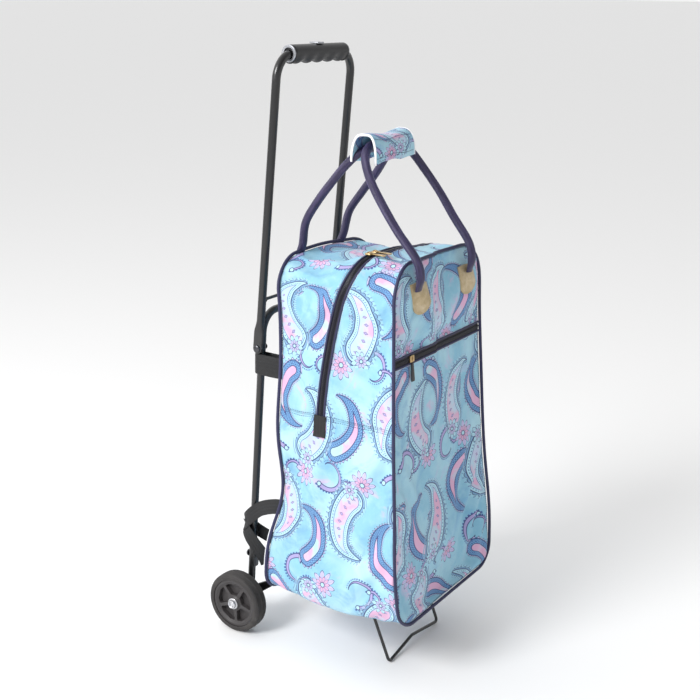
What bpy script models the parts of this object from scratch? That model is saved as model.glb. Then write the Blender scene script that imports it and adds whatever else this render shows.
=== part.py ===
"""Folding shopping trolley: a two-wheeled folding tube frame with a fabric bag strapped to it.

Metres, +Z up. X runs across the trolley, the bag's front faces -Y, and the wheels stand on z = 0.
Depths are given as "forward" distances from the wheel axle, and place() turns them into Y.
"""
import math

import bmesh
import bpy
from mathutils import Matrix, Vector

# ---------------------------------------------------------------- driving dimensions
GAP = 0.0003                 # air kept between touching pieces
WHEEL_RADIUS = 0.050
WHEEL_WIDTH = 0.026
WHEEL_CENTRE_X = 0.125
TYRE_INNER_RADIUS = 0.040
AXLE_RADIUS = 0.003
AXLE_HALF_LENGTH = 0.1425
BORE_RADIUS = AXLE_RADIUS + 0.0004
AXLE_Z = WHEEL_RADIUS

LOWER_TUBE_RADIUS = 0.006
LOWER_LEG_X = 0.0907
LOWER_LEAN = 0.054           # forward travel per metre of height
LOWER_FOOT_Z = 0.040
LOWER_TOP_Z = 0.533
LOWER_BEND = 0.030

HANDLE_TUBE_RADIUS = 0.00635
HANDLE_LEG_X = 0.098
HANDLE_LEAN = 0.0763
HANDLE_TOP_Z = 0.920
HANDLE_BEND = 0.035
TUBE_WALL = 0.0012
FLAT_HALF_THICKNESS = 0.0016
FLAT_HALF_WIDTH = 0.0080
PIVOT_Z = 0.478
CROSS_ROD_Z = 0.555
CROSS_ROD_RADIUS = 0.0025
GRIP_HALF_LENGTH = 0.070
GRIP_RADIUS = 0.0135
GRIP_BORE = 0.0083

RIVET_RADIUS = 0.0025
BOLT_RADIUS = 0.0020
BOLT_Z = 0.122

WIRE_RADIUS = 0.0025
WIRE_X = 0.0785
FOOT_X = 0.078
ARM_HALF_THICKNESS = 0.003
ARM_TIP = (0.030, 0.070)     # forward, z of the hinge arm's tip

BAG_HALF_WIDTH = 0.140
BAG_BOTTOM = 0.0952
BAG_TOP = 0.645
BAG_TOP_RADIUS = 0.050
BAG_BOTTOM_RADIUS = 0.035
FRONT_AT_GROUND = 0.324      # the front panel's outer face, carried down to z = 0
FRONT_LEAN_BACK = 0.090
BACK_AT_GROUND = 0.0692
BACK_LEAN = 0.008
CLOTH = 0.0020
SEAM_Z = 0.405               # where the opening gussets meet the lower sides
ZIP_HALF_WIDTH = 0.007
PIPING_RADIUS = 0.0025
POCKET_TOP = 0.4965
POCKET_ZIP_HEIGHT = 0.014
TAB_X = 0.078
BACK_TAB_X = 0.055
TAB_TOP = 0.616
TAB_SIZE = (0.016, 0.047, 0.0022)     # half width, height, thickness
STRAP_RADIUS = 0.0065
WEBBING = 0.0015
PULLER_HINGE_AHEAD = 0.0056  # the top pullers' hinge, forward of the middle of the slider
PULLER_HINGE_DROP = 0.0006   # the pocket puller's hinge, below the puller's upper edge

# half the difference of the front and rear reach, so that the box is centred on y = 0
AXLE_Y = 0.1338

TUBE_SIDES = 10
WIRE_SIDES = 8
BEND_STEPS = 5
SIDES = {"left": -1, "right": 1}


def place(x, forward, z):
    """World position of a point given by its forward distance from the axle."""
    return Vector((x, AXLE_Y - forward, z))


def lower_forward(z):
    return LOWER_LEAN * (z - AXLE_Z)


def handle_forward(z):
    return lower_forward(PIVOT_Z) + HANDLE_LEAN * (z - PIVOT_Z)


def front_forward(z):
    return FRONT_AT_GROUND - FRONT_LEAN_BACK * z


def back_forward(z):
    return BACK_AT_GROUND + BACK_LEAN * z


def zip_forward(z):
    """Centre line of the main zip, which sweeps forward as it climbs."""
    return 0.158 + 0.8 * max(0.0, z - 0.40) ** 2


# ---------------------------------------------------------------- scene and materials
def clear_scene():
    for item in list(bpy.data.objects):
        bpy.data.objects.remove(item, do_unlink=True)


def surface(name, colour, roughness, metallic):
    material = bpy.data.materials.new(name + "_finish")
    material.use_nodes = True
    shader = material.node_tree.nodes["Principled BSDF"]
    shader.inputs["Base Color"].default_value = (*colour, 1.0)
    shader.inputs["Roughness"].default_value = roughness
    shader.inputs["Metallic"].default_value = metallic
    return material


BLACK_PAINT = ((0.015, 0.015, 0.017), 0.35, 0.2)
STEEL = ((0.62, 0.62, 0.64), 0.35, 1.0)
BLACK_PLASTIC = ((0.03, 0.03, 0.032), 0.5, 0.0)
SILVER_PLASTIC = ((0.35, 0.36, 0.38), 0.4, 0.0)
TYRE = ((0.035, 0.033, 0.034), 0.75, 0.0)
AQUA_FABRIC = ((0.42, 0.70, 0.84), 0.8, 0.0)
NAVY_FABRIC = ((0.035, 0.03, 0.09), 0.6, 0.0)
BLACK_FABRIC = ((0.02, 0.02, 0.025), 0.8, 0.0)
TAN_LEATHER = ((0.42, 0.32, 0.19), 0.5, 0.0)
BRASS = ((0.60, 0.44, 0.22), 0.35, 1.0)
BOARD = ((0.20, 0.20, 0.22), 0.7, 0.0)


def add_object(name, mesh_builder, finish):
    """Turn a bmesh into a named object with a smooth-shaded mesh and its own material."""
    bmesh.ops.recalc_face_normals(mesh_builder, faces=mesh_builder.faces)
    mesh = bpy.data.meshes.new(name)
    mesh_builder.to_mesh(mesh)
    mesh_builder.free()
    mesh.shade_smooth()
    mesh.set_sharp_from_angle(angle=math.radians(35))
    item = bpy.data.objects.new(name, mesh)
    bpy.context.scene.collection.objects.link(item)
    mesh.materials.append(surface(name, *finish))
    return item


def cut(item, cutter_mesh, label):
    """Subtract a cutter's volume from an object with a Boolean modifier."""
    cutter = add_object(item.name + "_" + label, cutter_mesh, STEEL)
    cutter.hide_render = True
    cutter.display_type = 'WIRE'
    modifier = item.modifiers.new(label, 'BOOLEAN')
    modifier.operation = 'DIFFERENCE'
    modifier.solver = 'EXACT'
    modifier.object = cutter
    return item


def group_on(pivot_name, origin, items):
    """Parent the items to an empty on their joint's axis, without moving them in the world."""
    pivot = bpy.data.objects.new(pivot_name, None)
    pivot.location = origin
    bpy.context.scene.collection.objects.link(pivot)
    for item in items:
        item.data.transform(Matrix.Translation(-origin))
        item.parent = pivot
    return pivot


# ---------------------------------------------------------------- shape tools
def circle_profile(sides):
    turns = [math.tau * (k + 0.5) / sides for k in range(sides)]
    return [(math.cos(t), math.sin(t)) for t in turns]


FLAT_PROFILE = [(1, 1), (-1, 1), (-1, -1), (1, -1)]


def fillet(corners, radii, steps=BEND_STEPS):
    """A polyline with each inner corner replaced by an arc of the given radius."""
    path = [corners[0]]
    for before, corner, after, radius in zip(corners, corners[1:], corners[2:], radii):
        into = (before - corner).normalized()
        out = (after - corner).normalized()
        half_angle = into.angle(out) / 2
        centre = corner + (into + out).normalized() * (radius / math.sin(half_angle))
        reach = radius / math.tan(half_angle)
        start = corner + into * reach - centre
        axis = start.cross(out * reach + corner - centre)
        sweep_angle = math.pi - 2 * half_angle
        for step in range(steps + 1):
            turn = Matrix.Rotation(sweep_angle * step / steps, 3, axis)
            path.append(centre + turn @ start)
    path.append(corners[-1])
    return path


def smooth_path(points, steps):
    """A Catmull-Rom curve through the points."""
    ends = [points[0] * 2 - points[1]] + points + [points[-1] * 2 - points[-2]]
    path = []
    for a, b, c, d in zip(ends, ends[1:], ends[2:], ends[3:]):
        for step in range(steps):
            t = step / steps
            path.append(0.5 * (2 * b + (c - a) * t + (2 * a - 5 * b + 4 * c - d) * t * t
                               + (3 * b - a - 3 * c + d) * t ** 3))
    path.append(points[-1])
    return path


def carried_frames(path, first_side):
    """Side and other directions along a path, carried without twisting."""
    side = Vector(first_side)
    frames = []
    for index, point in enumerate(path):
        ahead = path[min(index + 1, len(path) - 1)]
        behind = path[max(index - 1, 0)]
        tangent = (ahead - behind).normalized()
        side = (side - tangent * side.dot(tangent)).normalized()
        frames.append((side.copy(), tangent.cross(side)))
    return frames


def add_skin(builder, rings, outward):
    """Join a list of vertex rings with quads."""
    for ring, following in zip(rings, rings[1:]):
        count = len(ring)
        for k in range(count):
            quad = [ring[k], ring[(k + 1) % count], following[(k + 1) % count], following[k]]
            builder.faces.new(quad if outward else quad[::-1])


def sweep_rings(builder, path, half_sizes, profile, frames, inset):
    rings = []
    for point, (side, other), (half_side, half_other) in zip(path, frames, half_sizes):
        ring = []
        for u, v in profile:
            offset = side * u * (half_side - inset) + other * v * (half_other - inset)
            ring.append(builder.verts.new(point + offset))
        rings.append(ring)
    return rings


def sweep(path, half_sizes, first_side, profile, wall=None):
    """Sweep a profile along a path: solid with capped ends, or a tube with open ends."""
    builder = bmesh.new()
    frames = carried_frames(path, first_side)
    outer = sweep_rings(builder, path, half_sizes, profile, frames, 0.0)
    add_skin(builder, outer, True)
    if wall is None:
        builder.faces.new(outer[0][::-1])
        builder.faces.new(outer[-1])
        return builder
    inner = sweep_rings(builder, path, half_sizes, profile, frames, wall)
    add_skin(builder, inner, False)
    add_skin(builder, [inner[0], outer[0]], True)
    add_skin(builder, [outer[-1], inner[-1]], True)
    return builder


def round_bar(path, radius, first_side, sides, wall=None):
    return sweep(path, [(radius, radius)] * len(path), first_side, circle_profile(sides), wall)


def turned(profile, centre, axis='X', segments=24, half_step=False):
    """Turn a closed (along, radius) profile about an axis through centre."""
    builder = bmesh.new()
    on_axis = {}
    rings = []
    for turn in range(segments):
        angle = math.tau * (turn + (0.5 if half_step else 0.0)) / segments
        ring = []
        for index, (along, radius) in enumerate(profile):
            across = (radius * math.cos(angle), radius * math.sin(angle))
            if radius == 0.0 and index in on_axis:
                ring.append(on_axis[index])
                continue
            if axis == 'X':
                spot = Vector((along, across[0], across[1]))
            elif axis == 'Y':
                spot = Vector((across[0], along, across[1]))
            else:
                spot = Vector((across[0], across[1], along))
            vertex = builder.verts.new(centre + spot)
            if radius == 0.0:
                on_axis[index] = vertex
            ring.append(vertex)
        rings.append(ring)
    count = len(profile)
    for ring, following in zip(rings, rings[1:] + rings[:1]):
        for k in range(count):
            corners = [ring[k], ring[(k + 1) % count], following[(k + 1) % count], following[k]]
            distinct = list(dict.fromkeys(corners))
            if len(distinct) > 2:
                builder.faces.new(distinct)
    return builder


def cylinder(centre, radius, half_length, axis='X', segments=12):
    profile = [(-half_length, 0.0), (-half_length, radius), (half_length, radius), (half_length, 0.0)]
    return turned(profile, centre, axis, segments, half_step=True)


def prism(outline, start, end):
    """Extrude a list of corner functions: outline points at start and at end offsets."""
    builder = bmesh.new()
    near = [builder.verts.new(start(*corner)) for corner in outline]
    far = [builder.verts.new(end(*corner)) for corner in outline]
    builder.faces.new(near)
    builder.faces.new(far[::-1])
    add_skin(builder, [near, far], True)
    return builder


def slab_x(outline, centre_x, half_thickness):
    """Extrude a (forward, z) outline across X."""
    return prism(outline,
                 lambda forward, z: place(centre_x - half_thickness, forward, z),
                 lambda forward, z: place(centre_x + half_thickness, forward, z))


def slab_forward(outline, forward_at, thickness):
    """Extrude an (x, z) outline forwards from a sloping face."""
    return prism(outline,
                 lambda x, z: place(x, forward_at(z), z),
                 lambda x, z: place(x, forward_at(z) + thickness, z))


def slab_up(outline, bottom, top):
    """Extrude an (x, forward) outline upwards."""
    return prism(outline,
                 lambda x, forward: place(x, forward, bottom),
                 lambda x, forward: place(x, forward, top))


def arc(centre, radius, start_deg, end_deg, steps=BEND_STEPS):
    angles = [math.radians(start_deg + (end_deg - start_deg) * k / steps) for k in range(steps + 1)]
    return [(centre[0] + radius * math.cos(a), centre[1] + radius * math.sin(a)) for a in angles]


def bag_corners(inset):
    """The four rounded corners of the bag's outline as (x, z), moved inwards by inset."""
    half = BAG_HALF_WIDTH - inset
    low = BAG_BOTTOM + inset
    high = BAG_TOP - inset
    low_radius = BAG_BOTTOM_RADIUS - inset
    high_radius = BAG_TOP_RADIUS - inset
    return {
        "bottom_right": arc((half - low_radius, low + low_radius), low_radius, -90, 0),
        "top_right": arc((half - high_radius, high - high_radius), high_radius, 0, 90),
        "top_left": arc((high_radius - half, high - high_radius), high_radius, 90, 180),
        "bottom_left": arc((low_radius - half, low + low_radius), low_radius, 180, 270),
    }


def bag_outline(inset):
    corners = bag_corners(inset)
    order = ("bottom_right", "top_right", "top_left", "bottom_left")
    return [point for corner in order for point in corners[corner]]


def upper_run(inset):
    """The outline from the right seam over the top to the left seam."""
    corners = bag_corners(inset)
    half = BAG_HALF_WIDTH - inset
    start = [(half, SEAM_Z), (half, (SEAM_Z + BAG_TOP - BAG_TOP_RADIUS) / 2)]
    end = [(-x, z) for x, z in reversed(start)]
    return start + corners["top_right"] + corners["top_left"] + end


def gusset(outer, inner, forward_from, forward_to):
    """A strip of cloth that follows the bag's outline between two depths."""
    builder = bmesh.new()
    rings = []
    for (outer_x, outer_z), (inner_x, inner_z) in zip(outer, inner):
        ring = [place(outer_x, forward_from(outer_z), outer_z),
                place(outer_x, forward_to(outer_z), outer_z),
                place(inner_x, forward_to(outer_z), inner_z),
                place(inner_x, forward_from(outer_z), inner_z)]
        rings.append([builder.verts.new(corner) for corner in ring])
    add_skin(builder, rings, True)
    builder.faces.new(rings[0][::-1])
    builder.faces.new(rings[-1])
    return builder


# ---------------------------------------------------------------- frame
def leaning_point(x, z, forward_at):
    return place(x, forward_at(z), z)


def build_lower_frame():
    corners = [leaning_point(x, z, lower_forward) for x, z in (
        (-LOWER_LEG_X, LOWER_FOOT_Z), (-LOWER_LEG_X, LOWER_TOP_Z),
        (LOWER_LEG_X, LOWER_TOP_Z), (LOWER_LEG_X, LOWER_FOOT_Z))]
    path = fillet(corners, [LOWER_BEND, LOWER_BEND])
    hoop = add_object("lower_frame",
                      round_bar(path, LOWER_TUBE_RADIUS, (1, 0, 0), TUBE_SIDES, TUBE_WALL),
                      BLACK_PAINT)
    pivot = leaning_point(0, PIVOT_Z, lower_forward)
    cut(hoop, cylinder(pivot, RIVET_RADIUS + GAP, 0.12), "pivot_hole")
    cut(hoop, cylinder(place(0, 0, AXLE_Z), BORE_RADIUS, 0.12), "axle_hole")
    for side, sign in SIDES.items():
        spot = leaning_point(sign * LOWER_LEG_X, BOLT_Z, lower_forward)
        cut(hoop, cylinder(spot, BOLT_RADIUS + GAP, 0.02, 'Y'), "bolt_hole_" + side)


def build_upper_handle():
    """A hoop whose leg ends are squeezed flat and offset outwards for the pivot."""
    flat_x = HANDLE_LEG_X + HANDLE_TUBE_RADIUS - FLAT_HALF_THICKNESS
    tip_steps = [(-0.0080, 0.45), (-0.0060, 0.80), (-0.0020, 1.0), (0.0240, 1.0)]
    leg = [(flat_x, PIVOT_Z + rise, FLAT_HALF_THICKNESS, FLAT_HALF_WIDTH * share)
           for rise, share in tip_steps]
    leg.append((HANDLE_LEG_X, PIVOT_Z + 0.0470, HANDLE_TUBE_RADIUS, HANDLE_TUBE_RADIUS))
    top = [leaning_point(x, z, handle_forward) for x, z in (
        (-HANDLE_LEG_X, leg[-1][1]), (-HANDLE_LEG_X, HANDLE_TOP_Z),
        (HANDLE_LEG_X, HANDLE_TOP_Z), (HANDLE_LEG_X, leg[-1][1]))]
    bends = fillet(top, [HANDLE_BEND, HANDLE_BEND])[1:-1]
    path = [leaning_point(-x, z, handle_forward) for x, z, _, _ in leg]
    path += bends
    path += [leaning_point(x, z, handle_forward) for x, z, _, _ in reversed(leg)]
    sizes = [(across, along) for _, _, across, along in leg]
    sizes += [(HANDLE_TUBE_RADIUS, HANDLE_TUBE_RADIUS)] * len(bends)
    sizes += [(across, along) for _, _, across, along in reversed(leg)]
    handle = add_object("upper_handle",
                        sweep(path, sizes, (1, 0, 0), circle_profile(TUBE_SIDES), TUBE_WALL),
                        BLACK_PAINT)
    pivot = leaning_point(0, PIVOT_Z, lower_forward)
    cut(handle, cylinder(pivot, RIVET_RADIUS + GAP, 0.13), "pivot_hole")
    reach = HANDLE_LEG_X - HANDLE_TUBE_RADIUS - GAP
    rod_ends = [leaning_point(x, CROSS_ROD_Z, handle_forward) for x in (-reach, reach)]
    rod = add_object("handle_cross_rod",
                     round_bar(rod_ends, CROSS_ROD_RADIUS, (0, 0, 1), WIRE_SIDES),
                     BLACK_PAINT)
    return [handle, rod]


def half_tube(name, start_deg, end_deg, finish):
    """Half of the grip, split along the handle bar."""
    centre = (handle_forward(HANDLE_TOP_Z), HANDLE_TOP_Z)
    outline = arc(centre, GRIP_RADIUS, start_deg, end_deg, 8)
    outline += arc(centre, GRIP_BORE, end_deg, start_deg, 8)
    return add_object(name, slab_x(outline, 0, GRIP_HALF_LENGTH), finish)


def build_grip():
    split = 1.5
    upper = half_tube("grip_upper_shell", split, 180 - split, BLACK_PLASTIC)
    lower = half_tube("grip_lower_shell", 180 + split, 360 - split, BLACK_PLASTIC)
    rings = []
    for side, sign in SIDES.items():
        inner_x = GRIP_HALF_LENGTH + GAP
        profile = [(sign * inner_x, GRIP_BORE), (sign * (inner_x + 0.002), GRIP_BORE),
                   (sign * (inner_x + 0.002), GRIP_RADIUS - 0.001), (sign * inner_x, GRIP_RADIUS)]
        centre = leaning_point(0, HANDLE_TOP_Z, handle_forward)
        rings.append(add_object("grip_end_ring_" + side, turned(profile, centre, segments=20),
                                SILVER_PLASTIC))
    badge_low = HANDLE_TOP_Z + GRIP_RADIUS + GAP
    middle = handle_forward(HANDLE_TOP_Z)
    half = 0.008
    outline = [(-half, middle - half), (half, middle - half), (half, middle + half),
               (-half, middle + half)]
    badge = add_object("grip_plaque", slab_up(outline, badge_low, badge_low + 0.0012),
                       SILVER_PLASTIC)
    return [upper, lower, badge] + rings


def build_pivots():
    flat_inner = HANDLE_LEG_X + HANDLE_TUBE_RADIUS - 2 * FLAT_HALF_THICKNESS
    leg_outer = LOWER_LEG_X + LOWER_TUBE_RADIUS
    leg_inner = LOWER_LEG_X - LOWER_TUBE_RADIUS
    head_inner = HANDLE_LEG_X + HANDLE_TUBE_RADIUS + GAP
    centre = leaning_point(0, PIVOT_Z, lower_forward)
    for side, sign in SIDES.items():
        stations = [(leg_inner - 0.0022, 0.0), (leg_inner - 0.0022, 0.0040), (leg_inner - GAP, 0.0050),
                    (leg_inner - GAP, RIVET_RADIUS), (head_inner, RIVET_RADIUS),
                    (head_inner, 0.0062), (head_inner + 0.0016, 0.0050), (head_inner + 0.0024, 0.0)]
        profile = [(sign * along, radius) for along, radius in stations]
        add_object("pivot_rivet_" + side, turned(profile, centre, segments=14), STEEL)
        ring = [(leg_outer + GAP, RIVET_RADIUS + GAP), (leg_outer + GAP, 0.0070),
                (flat_inner - GAP, 0.0070), (flat_inner - GAP, RIVET_RADIUS + GAP)]
        profile = [(sign * along, radius) for along, radius in ring]
        add_object("pivot_spacer_" + side, turned(profile, centre, segments=14), BLACK_PLASTIC)


def build_axle():
    centre = place(0, 0, AXLE_Z)
    add_object("axle", cylinder(centre, AXLE_RADIUS, AXLE_HALF_LENGTH), STEEL)
    leg_outer = LOWER_LEG_X + LOWER_TUBE_RADIUS
    wheel_inner = WHEEL_CENTRE_X - WHEEL_WIDTH / 2
    wheel_outer = WHEEL_CENTRE_X + WHEEL_WIDTH / 2
    cap_start = wheel_outer + GAP
    for side, sign in SIDES.items():
        sleeve = [(leg_outer + GAP, BORE_RADIUS), (leg_outer + GAP, 0.0060),
                  (wheel_inner - GAP, 0.0060), (wheel_inner - GAP, BORE_RADIUS)]
        add_object("axle_spacer_" + side,
                   turned([(sign * a, r) for a, r in sleeve], centre, segments=14), BLACK_PLASTIC)
        cap = [(cap_start, AXLE_RADIUS + GAP), (cap_start, 0.0066), (cap_start + 0.0034, 0.0060),
               (cap_start + 0.0056, 0.0030), (cap_start + 0.0060, 0.0),
               (AXLE_HALF_LENGTH + GAP, 0.0), (AXLE_HALF_LENGTH + GAP, AXLE_RADIUS + GAP)]
        add_object("axle_cap_" + side,
                   turned([(sign * a, r) for a, r in cap], centre, segments=14), STEEL)


def build_wheel(side, sign):
    centre = place(sign * WHEEL_CENTRE_X, 0, AXLE_Z)
    half = WHEEL_WIDTH / 2
    rim_outer = TYRE_INNER_RADIUS - GAP
    rim_half = half - 0.001
    web_half = 0.004
    hub_profile = [(-half, BORE_RADIUS), (half, BORE_RADIUS), (half, 0.0090), (web_half, 0.0110),
                   (web_half, 0.0335), (rim_half, 0.0350), (rim_half, rim_outer),
                   (-rim_half, rim_outer), (-rim_half, 0.0350), (-web_half, 0.0335),
                   (-web_half, 0.0110), (-half, 0.0090)]
    hub = add_object("wheel_hub_" + side, turned(hub_profile, centre, segments=30), BLACK_PLASTIC)
    spokes = 5
    for spoke in range(spokes):
        middle = math.tau * spoke / spokes
        outline = [(0.0150, middle - 0.22), (0.0310, middle - 0.42), (0.0322, middle),
                   (0.0310, middle + 0.42), (0.0150, middle + 0.22)]
        wedge = [(r * math.cos(a), AXLE_Z + r * math.sin(a)) for r, a in outline]
        cut(hub, slab_x(wedge, sign * WHEEL_CENTRE_X, 0.010), "window_%d" % (spoke + 1))
    shoulder = 0.0025
    facets = 36
    tread = WHEEL_RADIUS / math.cos(math.pi / facets)
    tyre_profile = [(-half, TYRE_INNER_RADIUS), (half, TYRE_INNER_RADIUS), (half, tread - shoulder),
                    (half - shoulder, tread), (shoulder - half, tread), (-half, tread - shoulder)]
    tyre = add_object("tyre_" + side, turned(tyre_profile, centre, segments=facets, half_step=True),
                      TYRE)
    group_on("wheel_axis_" + side, centre, [hub, tyre])


def build_strap_anchors():
    """A plate riveted to the front of each leg, where the lower webbing comes down."""
    leg_front = lambda z: lower_forward(z) + LOWER_TUBE_RADIUS + GAP
    plate_at = leg_front(BOLT_Z)
    for side, sign in SIDES.items():
        x = sign * LOWER_LEG_X
        plate_front = plate_at + 0.0016
        leg_back = lower_forward(BOLT_Z) - LOWER_TUBE_RADIUS
        half = 0.0065
        outline = [(x - half, 0.100), (x + half, 0.100), (x + half, 0.129), (x - half, 0.129)]
        plate = add_object("strap_anchor_" + side,
                           slab_forward(outline, leg_front, 0.0016), BLACK_PAINT)
        cut(plate, cylinder(place(x, plate_at, BOLT_Z), BOLT_RADIUS + GAP, 0.01, 'Y'), "rivet_hole")
        rear = -(leg_back - GAP)
        front = -(plate_front + 2 * GAP)
        rivet = [(rear + 0.0045, 0.0), (rear + 0.0036, 0.0036), (rear, 0.0055), (rear, BOLT_RADIUS),
                 (front, BOLT_RADIUS), (front, 0.0042), (front - 0.0014, 0.0034),
                 (front - 0.0020, 0.0)]
        add_object("anchor_rivet_" + side,
                   turned(rivet, place(x, 0, BOLT_Z), 'Y', segments=12), STEEL)


# ---------------------------------------------------------------- shelf
def build_shelf():
    """The wire shelf and foot, with the two arms that turn on the axle."""
    tip_forward, tip_z = ARM_TIP
    climb = math.degrees(math.atan2(tip_z - AXLE_Z, tip_forward))
    outline = arc((0, AXLE_Z), 0.0085, climb + 90, climb + 270, 6)
    outline += arc((tip_forward, tip_z), 0.0055, climb - 90, climb + 90, 4)
    pieces = []
    for side, sign in SIDES.items():
        arm = add_object("hinge_arm_" + side, slab_x(outline, sign * WIRE_X, ARM_HALF_THICKNESS),
                         BLACK_PAINT)
        cut(arm, cylinder(place(0, 0, AXLE_Z), BORE_RADIUS, 0.12), "axle_hole")
        pieces.append(arm)
    kink = (WIRE_X, 0.133, 0.0895)
    front = (WIRE_X, 0.2265, 0.0835)
    foot = (FOOT_X, 0.261, WIRE_RADIUS)
    middle = (0, 0.257, 0.012)
    start_reach = 0.0062
    run = Vector((0, kink[1] - tip_forward, kink[2] - tip_z)).normalized() * start_reach
    start = (WIRE_X, tip_forward + run.y, tip_z + run.z)
    half = [start, kink, front, foot]
    corners = [place(-x, forward, z) for x, forward, z in half]
    corners += [place(*middle)]
    corners += [place(x, forward, z) for x, forward, z in reversed(half)]
    radii = [0.030, 0.008, 0.006, 0.020, 0.006, 0.008, 0.030]
    wire = add_object("shelf_wire",
                      round_bar(fillet(corners, radii, 3), WIRE_RADIUS, (1, 0, 0), WIRE_SIDES),
                      BLACK_PAINT)
    pieces.append(wire)
    group_on("shelf_axis", place(0, 0, AXLE_Z), pieces)


# ---------------------------------------------------------------- bag
def build_bag_panels():
    inner_front = lambda z: front_forward(z) - CLOTH
    items = [add_object("front_panel", slab_forward(bag_outline(0), inner_front, CLOTH),
                        AQUA_FABRIC),
             add_object("back_panel", slab_forward(bag_outline(0), back_forward, CLOTH),
                        AQUA_FABRIC)]
    behind_front = lambda z: front_forward(z) - CLOTH - GAP
    before_back = lambda z: back_forward(z) + CLOTH + GAP
    zip_front = lambda z: zip_forward(z) + ZIP_HALF_WIDTH + GAP
    zip_back = lambda z: zip_forward(z) - ZIP_HALF_WIDTH - GAP
    outer = upper_run(0)
    inner = upper_run(CLOTH)
    items.append(add_object("front_gusset", gusset(outer, inner, zip_front, behind_front),
                            AQUA_FABRIC))
    items.append(add_object("rear_gusset", gusset(outer, inner, before_back, zip_back),
                            AQUA_FABRIC))
    tape = gusset(outer, upper_run(0.0012),
                  lambda z: zip_back(z) + 2 * GAP, lambda z: zip_front(z) - 2 * GAP)
    items.append(add_object("main_zip_tape", tape, BLACK_FABRIC))
    low_seam = SEAM_Z - GAP
    side_low = BAG_BOTTOM + BAG_BOTTOM_RADIUS + GAP
    for side, sign in SIDES.items():
        wall_outer = [(sign * BAG_HALF_WIDTH, low_seam), (sign * BAG_HALF_WIDTH, side_low)]
        wall_inner = [(sign * (BAG_HALF_WIDTH - CLOTH), z) for _, z in wall_outer]
        items.append(add_object("lower_side_" + side,
                                gusset(wall_outer, wall_inner, before_back, behind_front),
                                AQUA_FABRIC))
    corners_outer = bag_corners(0)
    corners_inner = bag_corners(CLOTH)
    bottom_outer = corners_outer["bottom_left"] + corners_outer["bottom_right"]
    bottom_inner = corners_inner["bottom_left"] + corners_inner["bottom_right"]
    items.append(add_object("bottom_panel",
                            gusset(bottom_outer, bottom_inner, before_back, behind_front),
                            AQUA_FABRIC))
    board_low = BAG_BOTTOM + CLOTH + GAP
    half = BAG_HALF_WIDTH - BAG_BOTTOM_RADIUS
    rear = back_forward(board_low) + 0.006
    front = front_forward(board_low) - 0.008
    outline = [(-half, rear), (half, rear), (half, front), (-half, front)]
    items.append(add_object("base_board", slab_up(outline, board_low, board_low + 0.003), BOARD))
    return items


def build_pocket():
    """The outer pocket layer on the front panel, with its zip tape."""
    on_front = lambda z: front_forward(z) + GAP
    corners = bag_corners(0.001)
    half = BAG_HALF_WIDTH - 0.001
    outline = corners["bottom_right"] + [(half, POCKET_TOP), (-half, POCKET_TOP)]
    outline += corners["bottom_left"]
    pocket = add_object("front_pocket", slab_forward(outline, on_front, CLOTH), AQUA_FABRIC)
    low = POCKET_TOP + GAP
    high = low + POCKET_ZIP_HEIGHT
    strip = [(-half, low), (half, low), (half, high), (-half, high)]
    tape = add_object("pocket_zip_tape", slab_forward(strip, on_front, CLOTH), BLACK_FABRIC)
    return [pocket, tape]


def build_piping():
    items = []
    offset = PIPING_RADIUS + GAP
    outline = bag_outline(-offset)
    edges = {"front_piping": lambda z: front_forward(z) - PIPING_RADIUS,
             "rear_piping": lambda z: back_forward(z) + PIPING_RADIUS}
    for name, forward_at in edges.items():
        loop = [place(x, forward_at(z), z) for x, z in outline]
        builder = bmesh.new()
        wrapped = [loop[-1]] + loop + [loop[0]]
        rings = []
        for before, point, after in zip(wrapped, wrapped[1:], wrapped[2:]):
            tangent = (after - before).normalized()
            side = Vector((0, 1, 0))
            side = (side - tangent * side.dot(tangent)).normalized()
            other = tangent.cross(side)
            ring = [builder.verts.new(point + side * u * PIPING_RADIUS + other * v * PIPING_RADIUS)
                    for u, v in circle_profile(6)]
            rings.append(ring)
        add_skin(builder, rings + rings[:1], True)
        items.append(add_object(name, builder, NAVY_FABRIC))
    return items


def build_tabs():
    """Leather tabs that hold the ends of the two carry straps."""
    half, height, thickness = TAB_SIZE
    items = []
    faces = {"front": (TAB_X, lambda z: front_forward(z) + GAP),
             "rear": (BACK_TAB_X, lambda z: back_forward(z) - thickness - GAP)}
    for face, (centre_x, forward_at) in faces.items():
        for side, sign in SIDES.items():
            x = sign * centre_x
            outline = [(x + half, TAB_TOP), (x - half, TAB_TOP)]
            outline += arc((x, TAB_TOP - height + half), half, 180, 360, 8)
            items.append(add_object("%s_tab_%s" % (face, side),
                                    slab_forward(outline, forward_at, thickness), TAN_LEATHER))
    return items


def mirrored_curve(half_points):
    points = [place(-x, forward, z) for x, forward, z in half_points]
    points += [place(x, forward, z) for x, forward, z in reversed(half_points[:-1])]
    return smooth_path(points, 3)


def build_carry_straps():
    start_z = TAB_TOP + GAP
    front_start = front_forward(start_z) + STRAP_RADIUS + 0.002
    rear_start = back_forward(start_z) - STRAP_RADIUS - 0.004
    front = [(TAB_X, front_start, start_z), (0.079, front_start - 0.001, 0.652),
             (0.080, 0.262, 0.682), (0.079, 0.232, 0.715), (0.073, 0.200, 0.754),
             (0.061, 0.184, 0.783), (0.038, 0.180, 0.7965), (0.0, 0.180, 0.7965)]
    rear = [(BACK_TAB_X, rear_start, start_z), (0.056, rear_start, 0.650),
            (0.058, 0.074, 0.683), (0.060, 0.102, 0.712), (0.059, 0.131, 0.742),
            (0.050, 0.153, 0.773), (0.032, 0.162, 0.7880), (0.0, 0.163, 0.7880)]
    items = []
    for name, half_points in (("front_carry_strap", front), ("rear_carry_strap", rear)):
        path = mirrored_curve(half_points)
        items.append(add_object(name, round_bar(path, STRAP_RADIUS, (1, 0, 0), 8), NAVY_FABRIC))
    return items


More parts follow.
